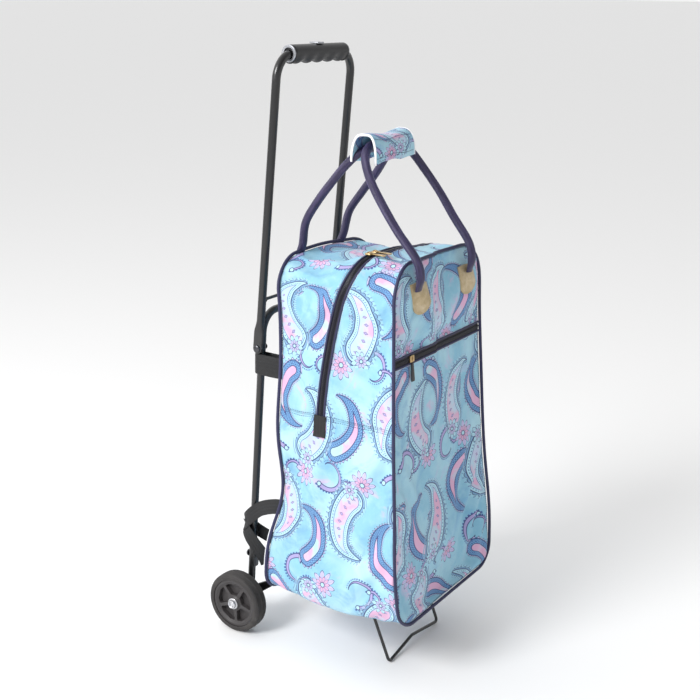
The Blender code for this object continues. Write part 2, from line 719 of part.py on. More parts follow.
def build_strap_wrap():
    """The padded fabric saddle that gathers both carry straps."""
    half_length = 0.055
    rear, front, low, high = 0.138, 0.2025, 0.771, 0.8125
    wall = 0.0025
    radius = 0.012
    outer = [(front, low)] + arc((front - radius, high - radius), radius, 0, 90, 4)
    outer += arc((rear + radius, high - radius), radius, 90, 180, 4) + [(rear, low)]
    inner_radius = radius - wall
    inner = [(rear + wall, low)]
    inner += arc((rear + radius, high - radius), inner_radius, 180, 90, 4)
    inner += arc((front - radius, high - radius), inner_radius, 90, 0, 4) + [(front - wall, low)]
    outline = outer + inner
    builder = bmesh.new()
    rings = []
    for x in (-half_length, half_length):
        rings.append([builder.verts.new(place(x, forward, z)) for forward, z in outline])
    add_skin(builder, rings, True)
    count = len(outline)
    for ring in rings:
        for k in range(count // 2 - 1):
            builder.faces.new([ring[k], ring[k + 1], ring[count - 2 - k], ring[count - 1 - k]])
    return [add_object("strap_wrap", builder, AQUA_FABRIC)]


def build_zip_end_tabs():
    """Webbing patches that finish the main zip on both sides."""
    items = []
    low, high = SEAM_Z - 0.030, SEAM_Z + 0.004
    for side, sign in SIDES.items():
        centre = zip_forward(SEAM_Z)
        outline = [(centre - 0.010, low), (centre + 0.010, low), (centre + 0.010, high),
                   (centre - 0.010, high)]
        x = sign * (BAG_HALF_WIDTH + GAP + 0.001)
        items.append(add_object("zip_end_tab_" + side, slab_x(outline, x, 0.001), BLACK_FABRIC))
    return items


def build_zip_sliders():
    """Sliders and their pullers: two on top of the bag and one on the pocket."""
    top_forward = zip_forward(BAG_TOP)
    body_low = BAG_TOP + GAP
    body_high = body_low + 0.0040
    movers = {}
    for side, centre_x in (("left", -0.078), ("right", -0.062)):
        half = 0.0060
        outline = [(centre_x - half, top_forward - 0.0045), (centre_x + half, top_forward - 0.0045),
                   (centre_x + half, top_forward + 0.0045), (centre_x - half, top_forward + 0.0045)]
        body = add_object("top_slider_" + side, slab_up(outline, body_low, body_high), BRASS)
        grip = [(centre_x - 0.0025, top_forward + 0.0052), (centre_x + 0.0025, top_forward + 0.0052),
                (centre_x + 0.0035, top_forward + 0.0270), (centre_x - 0.0035, top_forward + 0.0270)]
        puller = add_object("top_puller_" + side,
                            slab_up(grip, body_low + 0.0010, body_low + 0.0025), BRASS)
        hinge = place(centre_x, top_forward + PULLER_HINGE_AHEAD, body_low + 0.0018)
        movers[side] = group_on("top_puller_axis_" + side, hinge, [body, puller])
    centre_x = -0.080
    tape_middle = POCKET_TOP + GAP + POCKET_ZIP_HEIGHT / 2
    face = lambda z: front_forward(z) + 2 * GAP + CLOTH
    outline = [(centre_x - 0.0055, tape_middle - 0.0050), (centre_x + 0.0055, tape_middle - 0.0050),
               (centre_x + 0.0055, tape_middle + 0.0050), (centre_x - 0.0055, tape_middle + 0.0050)]
    body = add_object("pocket_slider", slab_forward(outline, face, 0.0040), BRASS)
    drop = tape_middle - 0.0057
    hang = [(centre_x - 0.0045, drop - 0.0280), (centre_x + 0.0045, drop - 0.0280),
            (centre_x + 0.0030, drop), (centre_x - 0.0030, drop)]
    puller = add_object("pocket_puller",
                        slab_forward(hang, lambda z: face(z) + 0.0012, 0.0015), BLACK_FABRIC)
    hinge_z = drop - PULLER_HINGE_DROP
    hinge = place(centre_x, face(hinge_z) + 0.0020, hinge_z)
    movers["pocket"] = group_on("pocket_puller_axis", hinge, [body, puller])
    return list(movers.values())


# ---------------------------------------------------------------- webbing
def build_webbing():
    """Straps from the bag's back that close around the frame's legs."""
    around = LOWER_TUBE_RADIUS + GAP + 0.0006 + WEBBING / 2
    turns = 6
    straight = 0.012
    bands = {"upper": (0.452, 0.452, 0.452, 0.0100), "lower": (0.196, 0.172, 0.150, 0.0115)}
    for level, (start_z, turn_z, end_z, half_width) in bands.items():
        start = back_forward(start_z) - 2 * GAP
        end = back_forward(end_z) - 2 * GAP
        for side, sign in SIDES.items():
            inner_x = sign * (LOWER_LEG_X - around)
            outer_x = sign * (LOWER_LEG_X + around)
            path = [place(inner_x, start, start_z), place(inner_x, start - straight, start_z),
                    place(inner_x, lower_forward(turn_z) + straight, turn_z)]
            for step in range(turns + 1):
                angle = math.pi * step / turns
                forward = lower_forward(turn_z) - around * math.sin(angle)
                path.append(place(sign * (LOWER_LEG_X - around * math.cos(angle)), forward, turn_z))
            path += [place(outer_x, lower_forward(turn_z) + straight, turn_z),
                     place(outer_x, end - straight, end_z), place(outer_x, end, end_z)]
            sizes = [(WEBBING / 2, half_width)] * len(path)
            add_object("%s_webbing_%s" % (level, side),
                       sweep(path, sizes, (sign, 0, 0), FLAT_PROFILE), BLACK_FABRIC)


def main():
    clear_scene()
    build_lower_frame()
    handle_pieces = build_upper_handle() + build_grip()
    group_on("handle_axis", leaning_point(0, PIVOT_Z, lower_forward), handle_pieces)
    build_pivots()
    build_axle()
    for side, sign in SIDES.items():
        build_wheel(side, sign)
    build_strap_anchors()
    build_shelf()
    build_webbing()
    bag_pieces = build_bag_panels() + build_pocket() + build_piping() + build_tabs()
    bag_pieces += build_carry_straps() + build_strap_wrap() + build_zip_end_tabs()
    bag_lift = group_on("bag_lift", place(0, front_forward(BAG_TOP), BAG_BOTTOM), bag_pieces)
    for mover in build_zip_sliders():
        mover.parent = bag_lift
        mover.location = mover.location - bag_lift.location


main()
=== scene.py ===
import math

import bmesh
import bpy
import numpy as np
from mathutils import Matrix, Vector, noise


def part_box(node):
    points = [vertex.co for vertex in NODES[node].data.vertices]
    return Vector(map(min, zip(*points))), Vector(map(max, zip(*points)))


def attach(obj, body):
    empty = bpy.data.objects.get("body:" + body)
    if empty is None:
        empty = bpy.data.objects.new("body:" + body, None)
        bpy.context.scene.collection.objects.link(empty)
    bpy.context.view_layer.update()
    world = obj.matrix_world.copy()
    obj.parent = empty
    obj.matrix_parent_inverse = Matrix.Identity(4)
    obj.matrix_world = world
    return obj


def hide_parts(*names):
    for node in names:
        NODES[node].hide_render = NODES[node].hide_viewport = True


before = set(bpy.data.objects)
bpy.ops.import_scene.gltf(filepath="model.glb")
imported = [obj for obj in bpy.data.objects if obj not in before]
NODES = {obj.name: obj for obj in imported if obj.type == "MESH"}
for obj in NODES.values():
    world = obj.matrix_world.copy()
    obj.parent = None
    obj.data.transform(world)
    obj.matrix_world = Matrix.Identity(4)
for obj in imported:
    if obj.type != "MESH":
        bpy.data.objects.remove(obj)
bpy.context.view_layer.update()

SIDES = {"left": -1, "right": 1}

# ---------------------------------------------------------------- places read from the frame
AXLE_LOW, AXLE_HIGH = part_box("axle")
AXLE_Y = (AXLE_LOW.y + AXLE_HIGH.y) / 2
AXLE_Z = (AXLE_LOW.z + AXLE_HIGH.z) / 2
TYRE_LOW, TYRE_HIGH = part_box("tyre_right")
WHEEL_RADIUS = (TYRE_HIGH.z - TYRE_LOW.z) / 2
WHEEL_X = (TYRE_LOW.x + TYRE_HIGH.x) / 2
WHEEL_WIDTH = TYRE_HIGH.x - TYRE_LOW.x
WHEEL_RIBS = 5
WEB_HALF = 0.0016                    # half the thickness of the web between the ribs
BAG_LOW, BAG_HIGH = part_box("front_panel")
LOWER_LOW, LOWER_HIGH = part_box("lower_frame")
HANDLE_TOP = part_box("upper_handle")[1].z
GRIP_LOW, GRIP_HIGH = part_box("grip_upper_shell")

# ---------------------------------------------------------------- driving dimensions
LOWER_TUBE_RADIUS = 0.006
LOWER_LEAN = 0.054
LOWER_BEND = 0.030
LEG_X = LOWER_HIGH.x - LOWER_TUBE_RADIUS
HANDLE_TUBE_RADIUS = 0.00635
HANDLE_LEG_X = 0.098
HANDLE_LEAN = 0.0763
HANDLE_BEND = 0.035
FLAT_HALF_THICKNESS = 0.0016
FLAT_HALF_WIDTH = 0.0080
PIVOT_Z = sum(corner.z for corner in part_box("pivot_rivet_left")) / 2
WIRE_RADIUS = 0.0025
WIRE_X = 0.0785
FOOT_X = 0.078
UPPER_WEBBING_Z = 0.4525
PATH_STEP = 0.004                    # between the points of a tube's or strap's path

BAG_HALF_WIDTH = BAG_HIGH.x
BAG_BOTTOM = BAG_LOW.z
BAG_TOP = BAG_HIGH.z
BAG_TOP_RADIUS = 0.060
BAG_BOTTOM_RADIUS = 0.035
FRONT_AT_GROUND = 0.324
FRONT_LEAN_BACK = 0.090
BACK_AT_GROUND = 0.0692
BACK_LEAN = 0.008
SEAM_Z = 0.405
POCKET_ZIP_LOW, POCKET_ZIP_HIGH = (corner.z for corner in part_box("pocket_zip_tape"))
BINDING_TOP = 0.225
STRAP_RADIUS = 0.0065
STRAP_END_WIDE, STRAP_END_DEEP = 0.0085, 0.0028      # half sizes of a strap's flattened end
STRAP_SQUEEZE = 0.020                # length over which it flattens


def place(x, forward, z):
    """World position of a point given by its forward distance from the axle."""
    return Vector((x, AXLE_Y - forward, z))


def lower_forward(z):
    return LOWER_LEAN * (z - AXLE_Z)


def handle_forward(z):
    return lower_forward(PIVOT_Z) + HANDLE_LEAN * (z - PIVOT_Z)


def front_forward(z):
    return FRONT_AT_GROUND - FRONT_LEAN_BACK * z


def back_forward(z):
    return BACK_AT_GROUND + BACK_LEAN * z


def zip_forward(z):
    return 0.158 + 0.8 * max(0.0, z - 0.40) ** 2


def middle_of(node):
    low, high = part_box(node)
    return (low + high) / 2


def add_object(name, data, material=None):
    """A linked object that holds the given mesh, lamp or camera."""
    if material:
        data.materials.append(material)
    thing = bpy.data.objects.new(name, data)
    bpy.context.scene.collection.objects.link(thing)
    return thing


# ---------------------------------------------------------------- camera, light and floor
CAMERA_FOCUS = 1200 / 700            # focal length as a share of the frame's width
CAMERA_SENSOR = 36.0
CAMERA_PLACE = Vector((-1.5207, AXLE_Y - 1.0893, 1.0063))
CAMERA_AZIMUTH = -1.0065
CAMERA_ELEVATION = 0.2898
CAMERA_ROLL = 0.0214
SKY_FRONT, SKY_BACK = 0.22, 1.25     # brightness of the sky before and behind the object
SKY_LEVEL = 0.92                     # and at the horizon
KEY_POWER, FILL_POWER = 78, 3
FLOOR_REACH = 600.0
FLOOR_Z = -0.0002


def build_camera():
    data = bpy.data.cameras.new("camera")
    data.sensor_width = CAMERA_SENSOR
    data.lens = CAMERA_SENSOR * CAMERA_FOCUS
    data.clip_start = 0.05
    camera = add_object("camera", data)
    turn, tilt = CAMERA_AZIMUTH, CAMERA_ELEVATION
    back = Vector((math.sin(turn) * math.cos(tilt), -math.cos(turn) * math.cos(tilt), math.sin(tilt)))
    right = (-back).cross(Vector((0, 0, 1))).normalized()
    up = back.cross(right)
    level_right = right * math.cos(CAMERA_ROLL) + up * math.sin(CAMERA_ROLL)
    level_up = up * math.cos(CAMERA_ROLL) - right * math.sin(CAMERA_ROLL)
    basis = Matrix((level_right, level_up, back)).transposed().to_4x4()
    camera.matrix_world = Matrix.Translation(CAMERA_PLACE) @ basis
    bpy.context.scene.camera = camera


def area_light(name, place_at, aim, size, power):
    data = bpy.data.lights.new(name, 'AREA')
    data.shape = 'DISK'
    data.size = size
    data.energy = power
    light = add_object(name, data)
    light.location = place_at
    light.rotation_mode = 'QUATERNION'
    light.rotation_quaternion = (Vector(aim) - Vector(place_at)).to_track_quat('-Z', 'Y')


def build_studio():
    """A large white floor, a sky that is dimmer in front than behind, and a soft key from the left."""
    world = bpy.data.worlds.new("studio")
    bpy.context.scene.world = world
    world.use_nodes = True
    tree = world.node_tree
    sky = tree.nodes["Background"]
    sky.inputs["Color"].default_value = (1, 1, 1, 1)
    split = tree.nodes.new("ShaderNodeSeparateXYZ")
    tree.links.new(tree.nodes.new("ShaderNodeTexCoord").outputs["Generated"], split.inputs[0])

    def ramp(axis, **settings):
        node = tree.nodes.new("ShaderNodeMapRange")
        for key, value in settings.items():
            node.inputs[key.replace("_", " ")].default_value = value
        tree.links.new(split.outputs[axis], node.inputs["Value"])
        return node.outputs["Result"]

    blend = tree.nodes.new("ShaderNodeMix")
    blend.inputs["A"].default_value = SKY_LEVEL
    tree.links.new(ramp("Z", From_Min=0.04, From_Max=0.34), blend.inputs["Factor"])
    tree.links.new(ramp("Y", From_Min=-0.9, From_Max=0.7, To_Min=SKY_FRONT, To_Max=SKY_BACK),
                   blend.inputs["B"])
    tree.links.new(blend.outputs["Result"], sky.inputs["Strength"])
    aim = (0, 0, 0.45)
    area_light("key", (-2.6, 0.7, 2.2), aim, 1.2, KEY_POWER)
    area_light("fill", (1.4, -2.8, 1.6), aim, 2.0, FILL_POWER)
    material = bpy.data.materials.new("floor")
    material.use_nodes = True
    shader = material.node_tree.nodes["Principled BSDF"]
    shader.inputs["Base Color"].default_value = (0.95, 0.95, 0.95, 1)
    shader.inputs["Roughness"].default_value = 0.9
    shader.inputs["Specular IOR Level"].default_value = 0.1
    mesh = bpy.data.meshes.new("floor")
    reach = FLOOR_REACH
    mesh.from_pydata([(-reach, -reach, 0), (reach, -reach, 0), (reach, reach, 0), (-reach, reach, 0)],
                     [], [(0, 1, 2, 3)])
    floor = add_object("floor", mesh, material)
    floor.location.z = FLOOR_Z
    bpy.context.scene.view_settings.view_transform = 'Standard'


# ---------------------------------------------------------------- shader arithmetic
class Field:
    """A number that varies over a surface, held as a socket of a material's node tree."""

    def __init__(self, tree, socket):
        self.tree = tree
        self.socket = socket

    def math(self, operation, *others):
        node = self.tree.nodes.new("ShaderNodeMath")
        node.operation = operation
        for index, value in enumerate((self,) + others):
            if isinstance(value, Field):
                self.tree.links.new(value.socket, node.inputs[index])
            else:
                node.inputs[index].default_value = value
        return Field(self.tree, node.outputs[0])

    def __add__(self, other):
        return self.math('ADD', other)

    __radd__ = __add__

    def __sub__(self, other):
        return self.math('SUBTRACT', other)

    def __rsub__(self, other):
        return (self * -1.0).math('ADD', other)

    def __mul__(self, other):
        return self.math('MULTIPLY', other)

    def __rmul__(self, other):
        return self.math('MULTIPLY', other)

    def __truediv__(self, other):
        return self.math('DIVIDE', other)

    def __abs__(self):
        return self.math('ABSOLUTE')

    def sin(self):
        return self.math('SINE')

    def cos(self):
        return self.math('COSINE')

    def floor(self):
        return self.math('FLOOR')

    def fract(self):
        return self.math('FRACT')

    def power(self, other):
        return self.math('POWER', other)

    def above(self, other):
        return self.math('GREATER_THAN', other)

    def under(self, other):
        return self.math('LESS_THAN', other)

    def root(self):
        return self.math('SQRT')

    def clamp(self, shift=0.0):
        """The field plus a shift, kept between 0 and 1."""
        shifted = self.math('ADD', shift)
        shifted.socket.node.use_clamp = True
        return shifted

    def inside(self, edge):
        """1 where the field is negative, 0 where it is positive, with a soft edge."""
        return (self * (-0.5 / edge)).clamp(0.5)

    def line(self, half_width, edge):
        """1 on the field's zero line."""
        return (abs(self) - half_width).inside(edge)


def length_of(x, y):
    return (x * x + y * y).root()


class Surface:
    """A material under construction: a Principled shader and the helpers that feed it."""

    def __init__(self, name):
        self.material = bpy.data.materials.new(name)
        self.material.use_nodes = True
        self.tree = self.material.node_tree
        self.shader = self.tree.nodes["Principled BSDF"]

    def node(self, kind, **settings):
        node = self.tree.nodes.new(kind)
        for key, value in settings.items():
            setattr(node, key, value)
        return node

    def feed(self, node, name, value):
        """Give an input a field, a socket, a number or a colour."""
        if isinstance(value, Field):
            value = value.socket
        if isinstance(value, bpy.types.NodeSocket):
            self.tree.links.new(value, node.inputs[name])
        elif isinstance(value, tuple) and node.inputs[name].type == 'RGBA':
            node.inputs[name].default_value = (*value[:3], 1.0)
        else:
            node.inputs[name].default_value = value

    def uniform(self, **values):
        for key, value in values.items():
            self.feed(self.shader, key.replace("_", " "), value)

    def flat(self):
        """The panel's own flat coordinates, in metres."""
        node = self.node("ShaderNodeUVMap", uv_map="flat")
        split = self.node("ShaderNodeSeparateXYZ")
        self.tree.links.new(node.outputs["UV"], split.inputs[0])
        return Field(self.tree, split.outputs["X"]), Field(self.tree, split.outputs["Y"])

    def object_place(self):
        return self.node("ShaderNodeTexCoord").outputs["Object"]

    def vector(self, x, y, z=0.0):
        node = self.node("ShaderNodeCombineXYZ")
        for name, value in zip("XYZ", (x, y, z)):
            self.feed(node, name, value)
        return node.outputs[0]

    def noise(self, vector, scale, detail=3.0, roughness=0.5, distortion=0.0):
        node = self.node("ShaderNodeTexNoise")
        for name, value in (("Vector", vector), ("Scale", scale), ("Detail", detail),
                            ("Roughness", roughness), ("Distortion", distortion)):
            self.feed(node, name, value)
        return Field(self.tree, node.outputs["Fac"])

    def voronoi(self, vector, scale):
        node = self.node("ShaderNodeTexVoronoi")
        self.feed(node, "Vector", vector)
        self.feed(node, "Scale", scale)
        return Field(self.tree, node.outputs["Distance"])

    def dice(self, x, y, seed):
        """Three random numbers for each whole-number place."""
        node = self.node("ShaderNodeTexWhiteNoise", noise_dimensions='3D')
        self.feed(node, "Vector", self.vector(x, y, seed))
        split = self.node("ShaderNodeSeparateColor")
        self.tree.links.new(node.outputs["Color"], split.inputs[0])
        return [Field(self.tree, socket) for socket in split.outputs]

    def mix(self, share, first, second):
        """A colour between two colours."""
        node = self.node("ShaderNodeMix", data_type='RGBA')
        for index, value in ((0, share), (6, first), (7, second)):
            self.feed(node, index, value)
        return node.outputs[2]

    def colour(self, value):
        self.feed(self.shader, "Base Color", value)

    def rough(self, field):
        self.feed(self.shader, "Roughness", field)

    def bump(self, height, distance, strength):
        node = self.node("ShaderNodeBump")
        for name, value in (("Height", height), ("Distance", distance), ("Strength", strength)):
            self.feed(node, name, value)
        self.feed(self.shader, "Normal", node.outputs["Normal"])


# ---------------------------------------------------------------- printed fabric
AQUA = (0.27, 0.57, 0.75)
PALE = (0.50, 0.78, 0.90)
SKY = (0.19, 0.44, 0.70)
SLATE = (0.22, 0.40, 0.62)
LILAC = (0.43, 0.38, 0.68)
MAUVE = (0.60, 0.56, 0.82)
PINK = (0.78, 0.47, 0.68)
NAVY = (0.024, 0.034, 0.17)
BLUE = (0.075, 0.14, 0.40)
PRINT_LINE = 0.00062          # half the width of a drawn line
PRINT_EDGE = 0.00026
REPEAT_WIDE, REPEAT_TALL = 0.122, 0.172      # the print's staggered repeat


def motif_place(look, x, y, shift_x, shift_y, seed, lean):
    """Local coordinates, in metres, of one motif for each cell of the staggered repeat."""
    up = y / REPEAT_TALL + shift_y
    row = up.floor()
    along = x / REPEAT_WIDE + row * 0.5 + shift_x
    first, second, third = look.dice(along.floor(), row, seed)
    local_x = (along.fract() - 0.5 + (first - 0.5) * 0.07) * REPEAT_WIDE
    local_y = (up.fract() - 0.5 + (second - 0.5) * 0.06) * REPEAT_TALL
    angle = (third - 0.5) * (2 * lean)
    cosine, sine = angle.cos(), angle.sin()
    turned_x = local_x * cosine + local_y * sine
    turned_y = local_y * cosine - local_x * sine
    flip_x = (first * 17.0).fract().above(0.5) * 2.0 - 1.0
    flip_y = (second * 13.0).fract().above(0.45) * 2.0 - 1.0
    return turned_x * flip_x, turned_y * flip_y


def drop(x, y, spine, head, sweep_angle, curl):
    """A drop bent along a tightening arc: (distance past its edge, way along it, polar radius, share)."""
    half = sweep_angle / 2
    x = x + spine * (1 + math.cos(half)) / 2
    radius = length_of(x, y)
    angle = y.math('ARCTAN2', x)
    share = ((angle + half) / sweep_angle).clamp()
    middle = spine * (1.0 - share * share * curl)
    width = (1.0 - share).power(0.85) * ((share * 3.0).sin() * 0.30 + 1.0) * head
    body = abs(radius - middle) - width
    knob_x, knob_y = x - spine * math.cos(half), y + spine * math.sin(half)
    knob = length_of(knob_x, knob_y) - head
    before = angle.under(-half)
    past = angle.above(half)
    edge = body + before * (knob - body) + past * 0.05
    along = share * (sweep_angle * spine) + before * (angle + half) * (spine * 0.9)
    return edge, along, radius - middle, (knob_x, knob_y)


def bright_drop(look, ground, x, y, blot, spine, head, sweep_angle, curl):
    """A pale drop with a row of scallops outside, a beaded line inside and pink washes."""
    edge, along, off, knob = drop(x, y, spine, head, sweep_angle, curl)
    petal = abs((along * (math.pi / 0.0078)).sin()).root()
    fringe = edge - 0.0008 - petal * 0.0042
    halo = edge - 0.0088
    spike_x = (along / 0.0056).fract() * 0.0056 - 0.0028
    spike = abs(spike_x) * 2.2 + abs(edge - 0.0075) - 0.0026
    colour = look.mix(spike.inside(PRINT_EDGE) * 0.9, ground, BLUE)
    colour = look.mix(halo.inside(PRINT_EDGE) * 0.35, colour, PALE)
    colour = look.mix(fringe.inside(PRINT_EDGE) * 0.9, colour, SLATE)
    colour = look.mix(fringe.line(PRINT_LINE * 0.8, PRINT_EDGE), colour, NAVY)
    colour = look.mix(edge.inside(PRINT_EDGE), colour, PALE)
    core = edge + head * 0.34
    colour = look.mix(core.inside(PRINT_EDGE) * ((blot - 0.44) * 7.0).clamp(), colour, PINK)
    colour = look.mix(core.inside(PRINT_EDGE) * ((0.50 - blot) * 6.0).clamp() * 0.7, colour, MAUVE)
    bead_x = (along / 0.0042).fract() * 0.0042 - 0.0021
    bead = length_of(bead_x, edge + head * 0.20) - 0.0009
    colour = look.mix(bead.inside(PRINT_EDGE) * edge.inside(PRINT_EDGE), colour, BLUE)
    colour = look.mix(core.line(PRINT_LINE * 0.8, PRINT_EDGE), colour, BLUE)
    leaf_x = (along / 0.0125).fract() * 0.0125 - 0.00625
    leaf = abs(leaf_x) * 1.6 + abs(off) - 0.0036
    inner = (edge + head * 0.62).inside(PRINT_EDGE)
    colour = look.mix(leaf.inside(PRINT_EDGE) * inner, colour, LILAC)
    colour = look.mix(leaf.line(PRINT_LINE * 0.7, PRINT_EDGE) * inner, colour, NAVY)
    return look.mix(edge.line(PRINT_LINE * 1.3, PRINT_EDGE), colour, NAVY), knob


def dark_drop(look, ground, x, y, blot, spine, head, sweep_angle, curl, tooth=0.0052):
    """A drop of navy scales round a pink slit, with a toothed edge."""
    edge, along, off, knob = drop(x, y, spine, head, sweep_angle, curl)
    saw = abs((along / tooth).fract() * 2.0 - 1.0)
    fringe = edge - saw * 0.0040
    colour = look.mix(fringe.inside(PRINT_EDGE) * 0.85, ground, MAUVE)
    colour = look.mix(fringe.line(PRINT_LINE * 0.9, PRINT_EDGE), colour, NAVY)
    colour = look.mix(edge.inside(PRINT_EDGE), colour, SKY)
    scale = abs((along * (math.pi / 0.0044)).sin()) - abs((off * (math.pi / 0.0040)).sin())
    colour = look.mix(scale.line(0.30, 0.18) * (edge + 0.0010).inside(PRINT_EDGE), colour, BLUE)
    core = edge + head * 0.55
    colour = look.mix(core.inside(PRINT_EDGE), colour, PINK)
    colour = look.mix(core.inside(PRINT_EDGE) * ((blot - 0.47) * 8.0).clamp(), colour, PALE)
    colour = look.mix(core.line(PRINT_LINE * 0.9, PRINT_EDGE), colour, NAVY)
    return look.mix(edge.line(PRINT_LINE * 1.2, PRINT_EDGE), colour, NAVY), knob


def flower(look, ground, x, y, size, petals, fill, heart):
    """Two rings of pointed petals round a small eye."""
    radius = length_of(x, y)
    turn = y.math('ARCTAN2', x) * (petals / math.tau)
    colour = ground
    for reach, offset, tone in ((1.0, 0.0, fill), (0.60, 0.5, heart)):
        from_axis = abs((turn + offset).fract() * 2.0 - 1.0)
        lobe = 1.0 - from_axis * 0.26 - from_axis.power(4.0) * 0.36
        rim = radius - lobe * (size * reach)
        colour = look.mix(rim.inside(PRINT_EDGE), colour, tone)
        vein = (from_axis * radius * (math.pi / petals)).line(PRINT_LINE * 0.35, PRINT_EDGE)
        inside = (rim + size * 0.12).inside(PRINT_EDGE)
        colour = look.mix(vein * inside * 0.6, colour, BLUE)
        gap = ((1.0 - from_axis) * radius * (math.pi / petals)).line(PRINT_LINE * 0.6, PRINT_EDGE)
        colour = look.mix(gap * rim.inside(PRINT_EDGE), colour, NAVY)
        colour = look.mix(rim.line(PRINT_LINE * 0.9, PRINT_EDGE), colour, NAVY)
    eye = radius - size * 0.17
    colour = look.mix(eye.inside(PRINT_EDGE), colour, PALE)
    return look.mix(eye.line(PRINT_LINE * 0.9, PRINT_EDGE), colour, NAVY)


def hook(look, ground, x, y, spine, sweep_angle, curl):
    """A thin curled stem with beads outside it and a small bud at its foot."""
    edge, along, off, knob = drop(x, y, spine, spine * 0.13, sweep_angle, curl)
    bead_x = (along / 0.0046).fract() * 0.0046 - 0.0023
    bead = length_of(bead_x, off - spine * 0.13 - 0.0012) - 0.0015
    near = (edge - 0.0042).inside(PRINT_EDGE)
    colour = look.mix(bead.inside(PRINT_EDGE) * near, ground, BLUE)
    colour = look.mix(edge.inside(PRINT_EDGE), colour, LILAC)
    colour = look.mix(edge.line(PRINT_LINE, PRINT_EDGE), colour, NAVY)
    bud = length_of(knob[0], knob[1]) - 0.0036
    colour = look.mix(bud.inside(PRINT_EDGE), colour, PALE)
    return look.mix(bud.line(PRINT_LINE, PRINT_EDGE), colour, NAVY)


def watercolour(look, x, y):
    """Soft washes of aqua, white, sky blue, lilac and pink."""
    place_on = look.vector(x, y)
    wide = look.noise(place_on, 9.0, 4.0, 0.55, 0.6)
    blot = look.noise(look.vector(x + 3.7, y - 1.9), 19.0, 5.0, 0.6, 1.0)
    fine = look.noise(place_on, 75.0, 4.0, 0.65)
    wash = look.mix(((wide - 0.42) * 4.0).clamp(), AQUA, PALE)
    wash = look.mix(((blot - 0.53) * 7.0).clamp() * 0.60, wash, SKY)
    wash = look.mix(((0.42 - blot) * 8.0).clamp() * 0.55, wash, MAUVE)
    wash = look.mix(((0.37 - blot) * 9.0).clamp() * 0.60, wash, PINK)
    return look.mix(((fine - 0.5) * 3.0).clamp() * 0.40, wash, PALE), blot


def printed_fabric():
    """Watercolour washes under seven layers of line-drawn motifs, on puckered woven cloth."""
    look = Surface("printed_fabric")
    x, y = look.flat()

    def motif(shift_x, shift_y, seed, lean):
        return motif_place(look, x, y, shift_x, shift_y, seed, lean)

    colour, blot = watercolour(look, x, y)
    colour = hook(look, colour, *motif(0.26, 0.52, 3.0, 0.9), 0.026, 4.4, 0.45)
    colour = hook(look, colour, *motif(0.02, 0.46, 13.0, 1.2), 0.015, 4.2, 0.40)
    colour, _ = dark_drop(look, colour, *motif(0.50, 0.98, 23.0, 0.5), blot, 0.020, 0.0066, 3.6, 0.50,
                          0.0040)
    colour = flower(look, colour, *motif(0.76, 0.50, 5.0, 0.5), 0.0215, 10, MAUVE, PINK)
    colour, _ = dark_drop(look, colour, *motif(0.52, 0.03, 7.0, 0.42), blot, 0.060, 0.0150, 2.25, 0.42)
    colour, knob = bright_drop(look, colour, *motif(0.02, 0.0, 11.0, 0.36), blot, 0.066, 0.0205, 2.05,
                               0.38)
    colour = flower(look, colour, knob[0], knob[1] + 0.017, 0.0165, 9, PALE, MAUVE)
    look.colour(colour)
    thread = 0.00085
    weave = (x * (math.tau / thread)).sin() * (y * (math.tau / thread)).sin()
    crease = look.noise(look.vector(x, y), 22.0, 4.0, 0.6, 0.8)
    pucker = look.noise(look.vector(x, y * 0.55), 48.0, 3.0, 0.55, 0.5)
    look.bump(weave * 0.06 + crease + pucker * 0.45, 0.0030, 0.65)
    look.uniform(Roughness=0.66, Sheen_Weight=0.10, Sheen_Roughness=0.5, Specular_IOR_Level=0.38)
    return look.material


# ---------------------------------------------------------------- other materials
def worn_paint(name, colour, roughness):
    """Sprayed paint with orange peel and rubbed patches."""
    look = Surface(name)
    spot = look.object_place()
    peel = look.noise(spot, 900.0, 2.0)
    rubbed = look.noise(spot, 45.0, 6.0, 0.65, 0.4)
    worn = ((rubbed - 0.60) * 8.0).clamp()
    look.colour(look.mix(worn * 0.45, colour, tuple(c * 3.0 + 0.012 for c in colour)))
    look.rough(roughness + worn * 0.18 + (peel - 0.5) * 0.10)
    look.bump(peel * 0.3 + rubbed * 0.7, 0.0004, 0.35)
    look.uniform(Coat_Weight=0.3, Coat_Roughness=0.18)
    return look.material


def moulded_plastic(name, colour, roughness, grain=1400.0):
    """Injection moulded plastic with a fine spark-eroded texture and scuffs."""
    look = Surface(name)
    spot = look.object_place()
    fine = look.voronoi(spot, grain)
    scuff = look.noise(spot, 70.0, 6.0, 0.7, 0.8)
    marks = ((scuff - 0.58) * 7.0).clamp()
    look.colour(look.mix(marks * 0.5, colour, tuple(c * 2.2 + 0.01 for c in colour)))
    look.rough(roughness + marks * 0.15 + (fine - 0.4) * 0.08)
    look.bump(fine * 0.6 + scuff * 0.3, 0.0003, 0.4)
    return look.material


def rubber(name, colour):
    look = Surface(name)
    spot = look.object_place()
    grain = look.noise(spot, 700.0, 3.0, 0.6)
    dust = look.noise(spot, 38.0, 7.0, 0.65, 0.6)
    dusty = ((dust - 0.47) * 5.0).clamp()
    look.colour(look.mix(dusty * 0.42, colour, (0.105, 0.098, 0.092)))
    look.rough(0.62 + dusty * 0.25)
    look.bump(grain * 0.5 + dust * 0.4, 0.0005, 0.45)
    return look.material


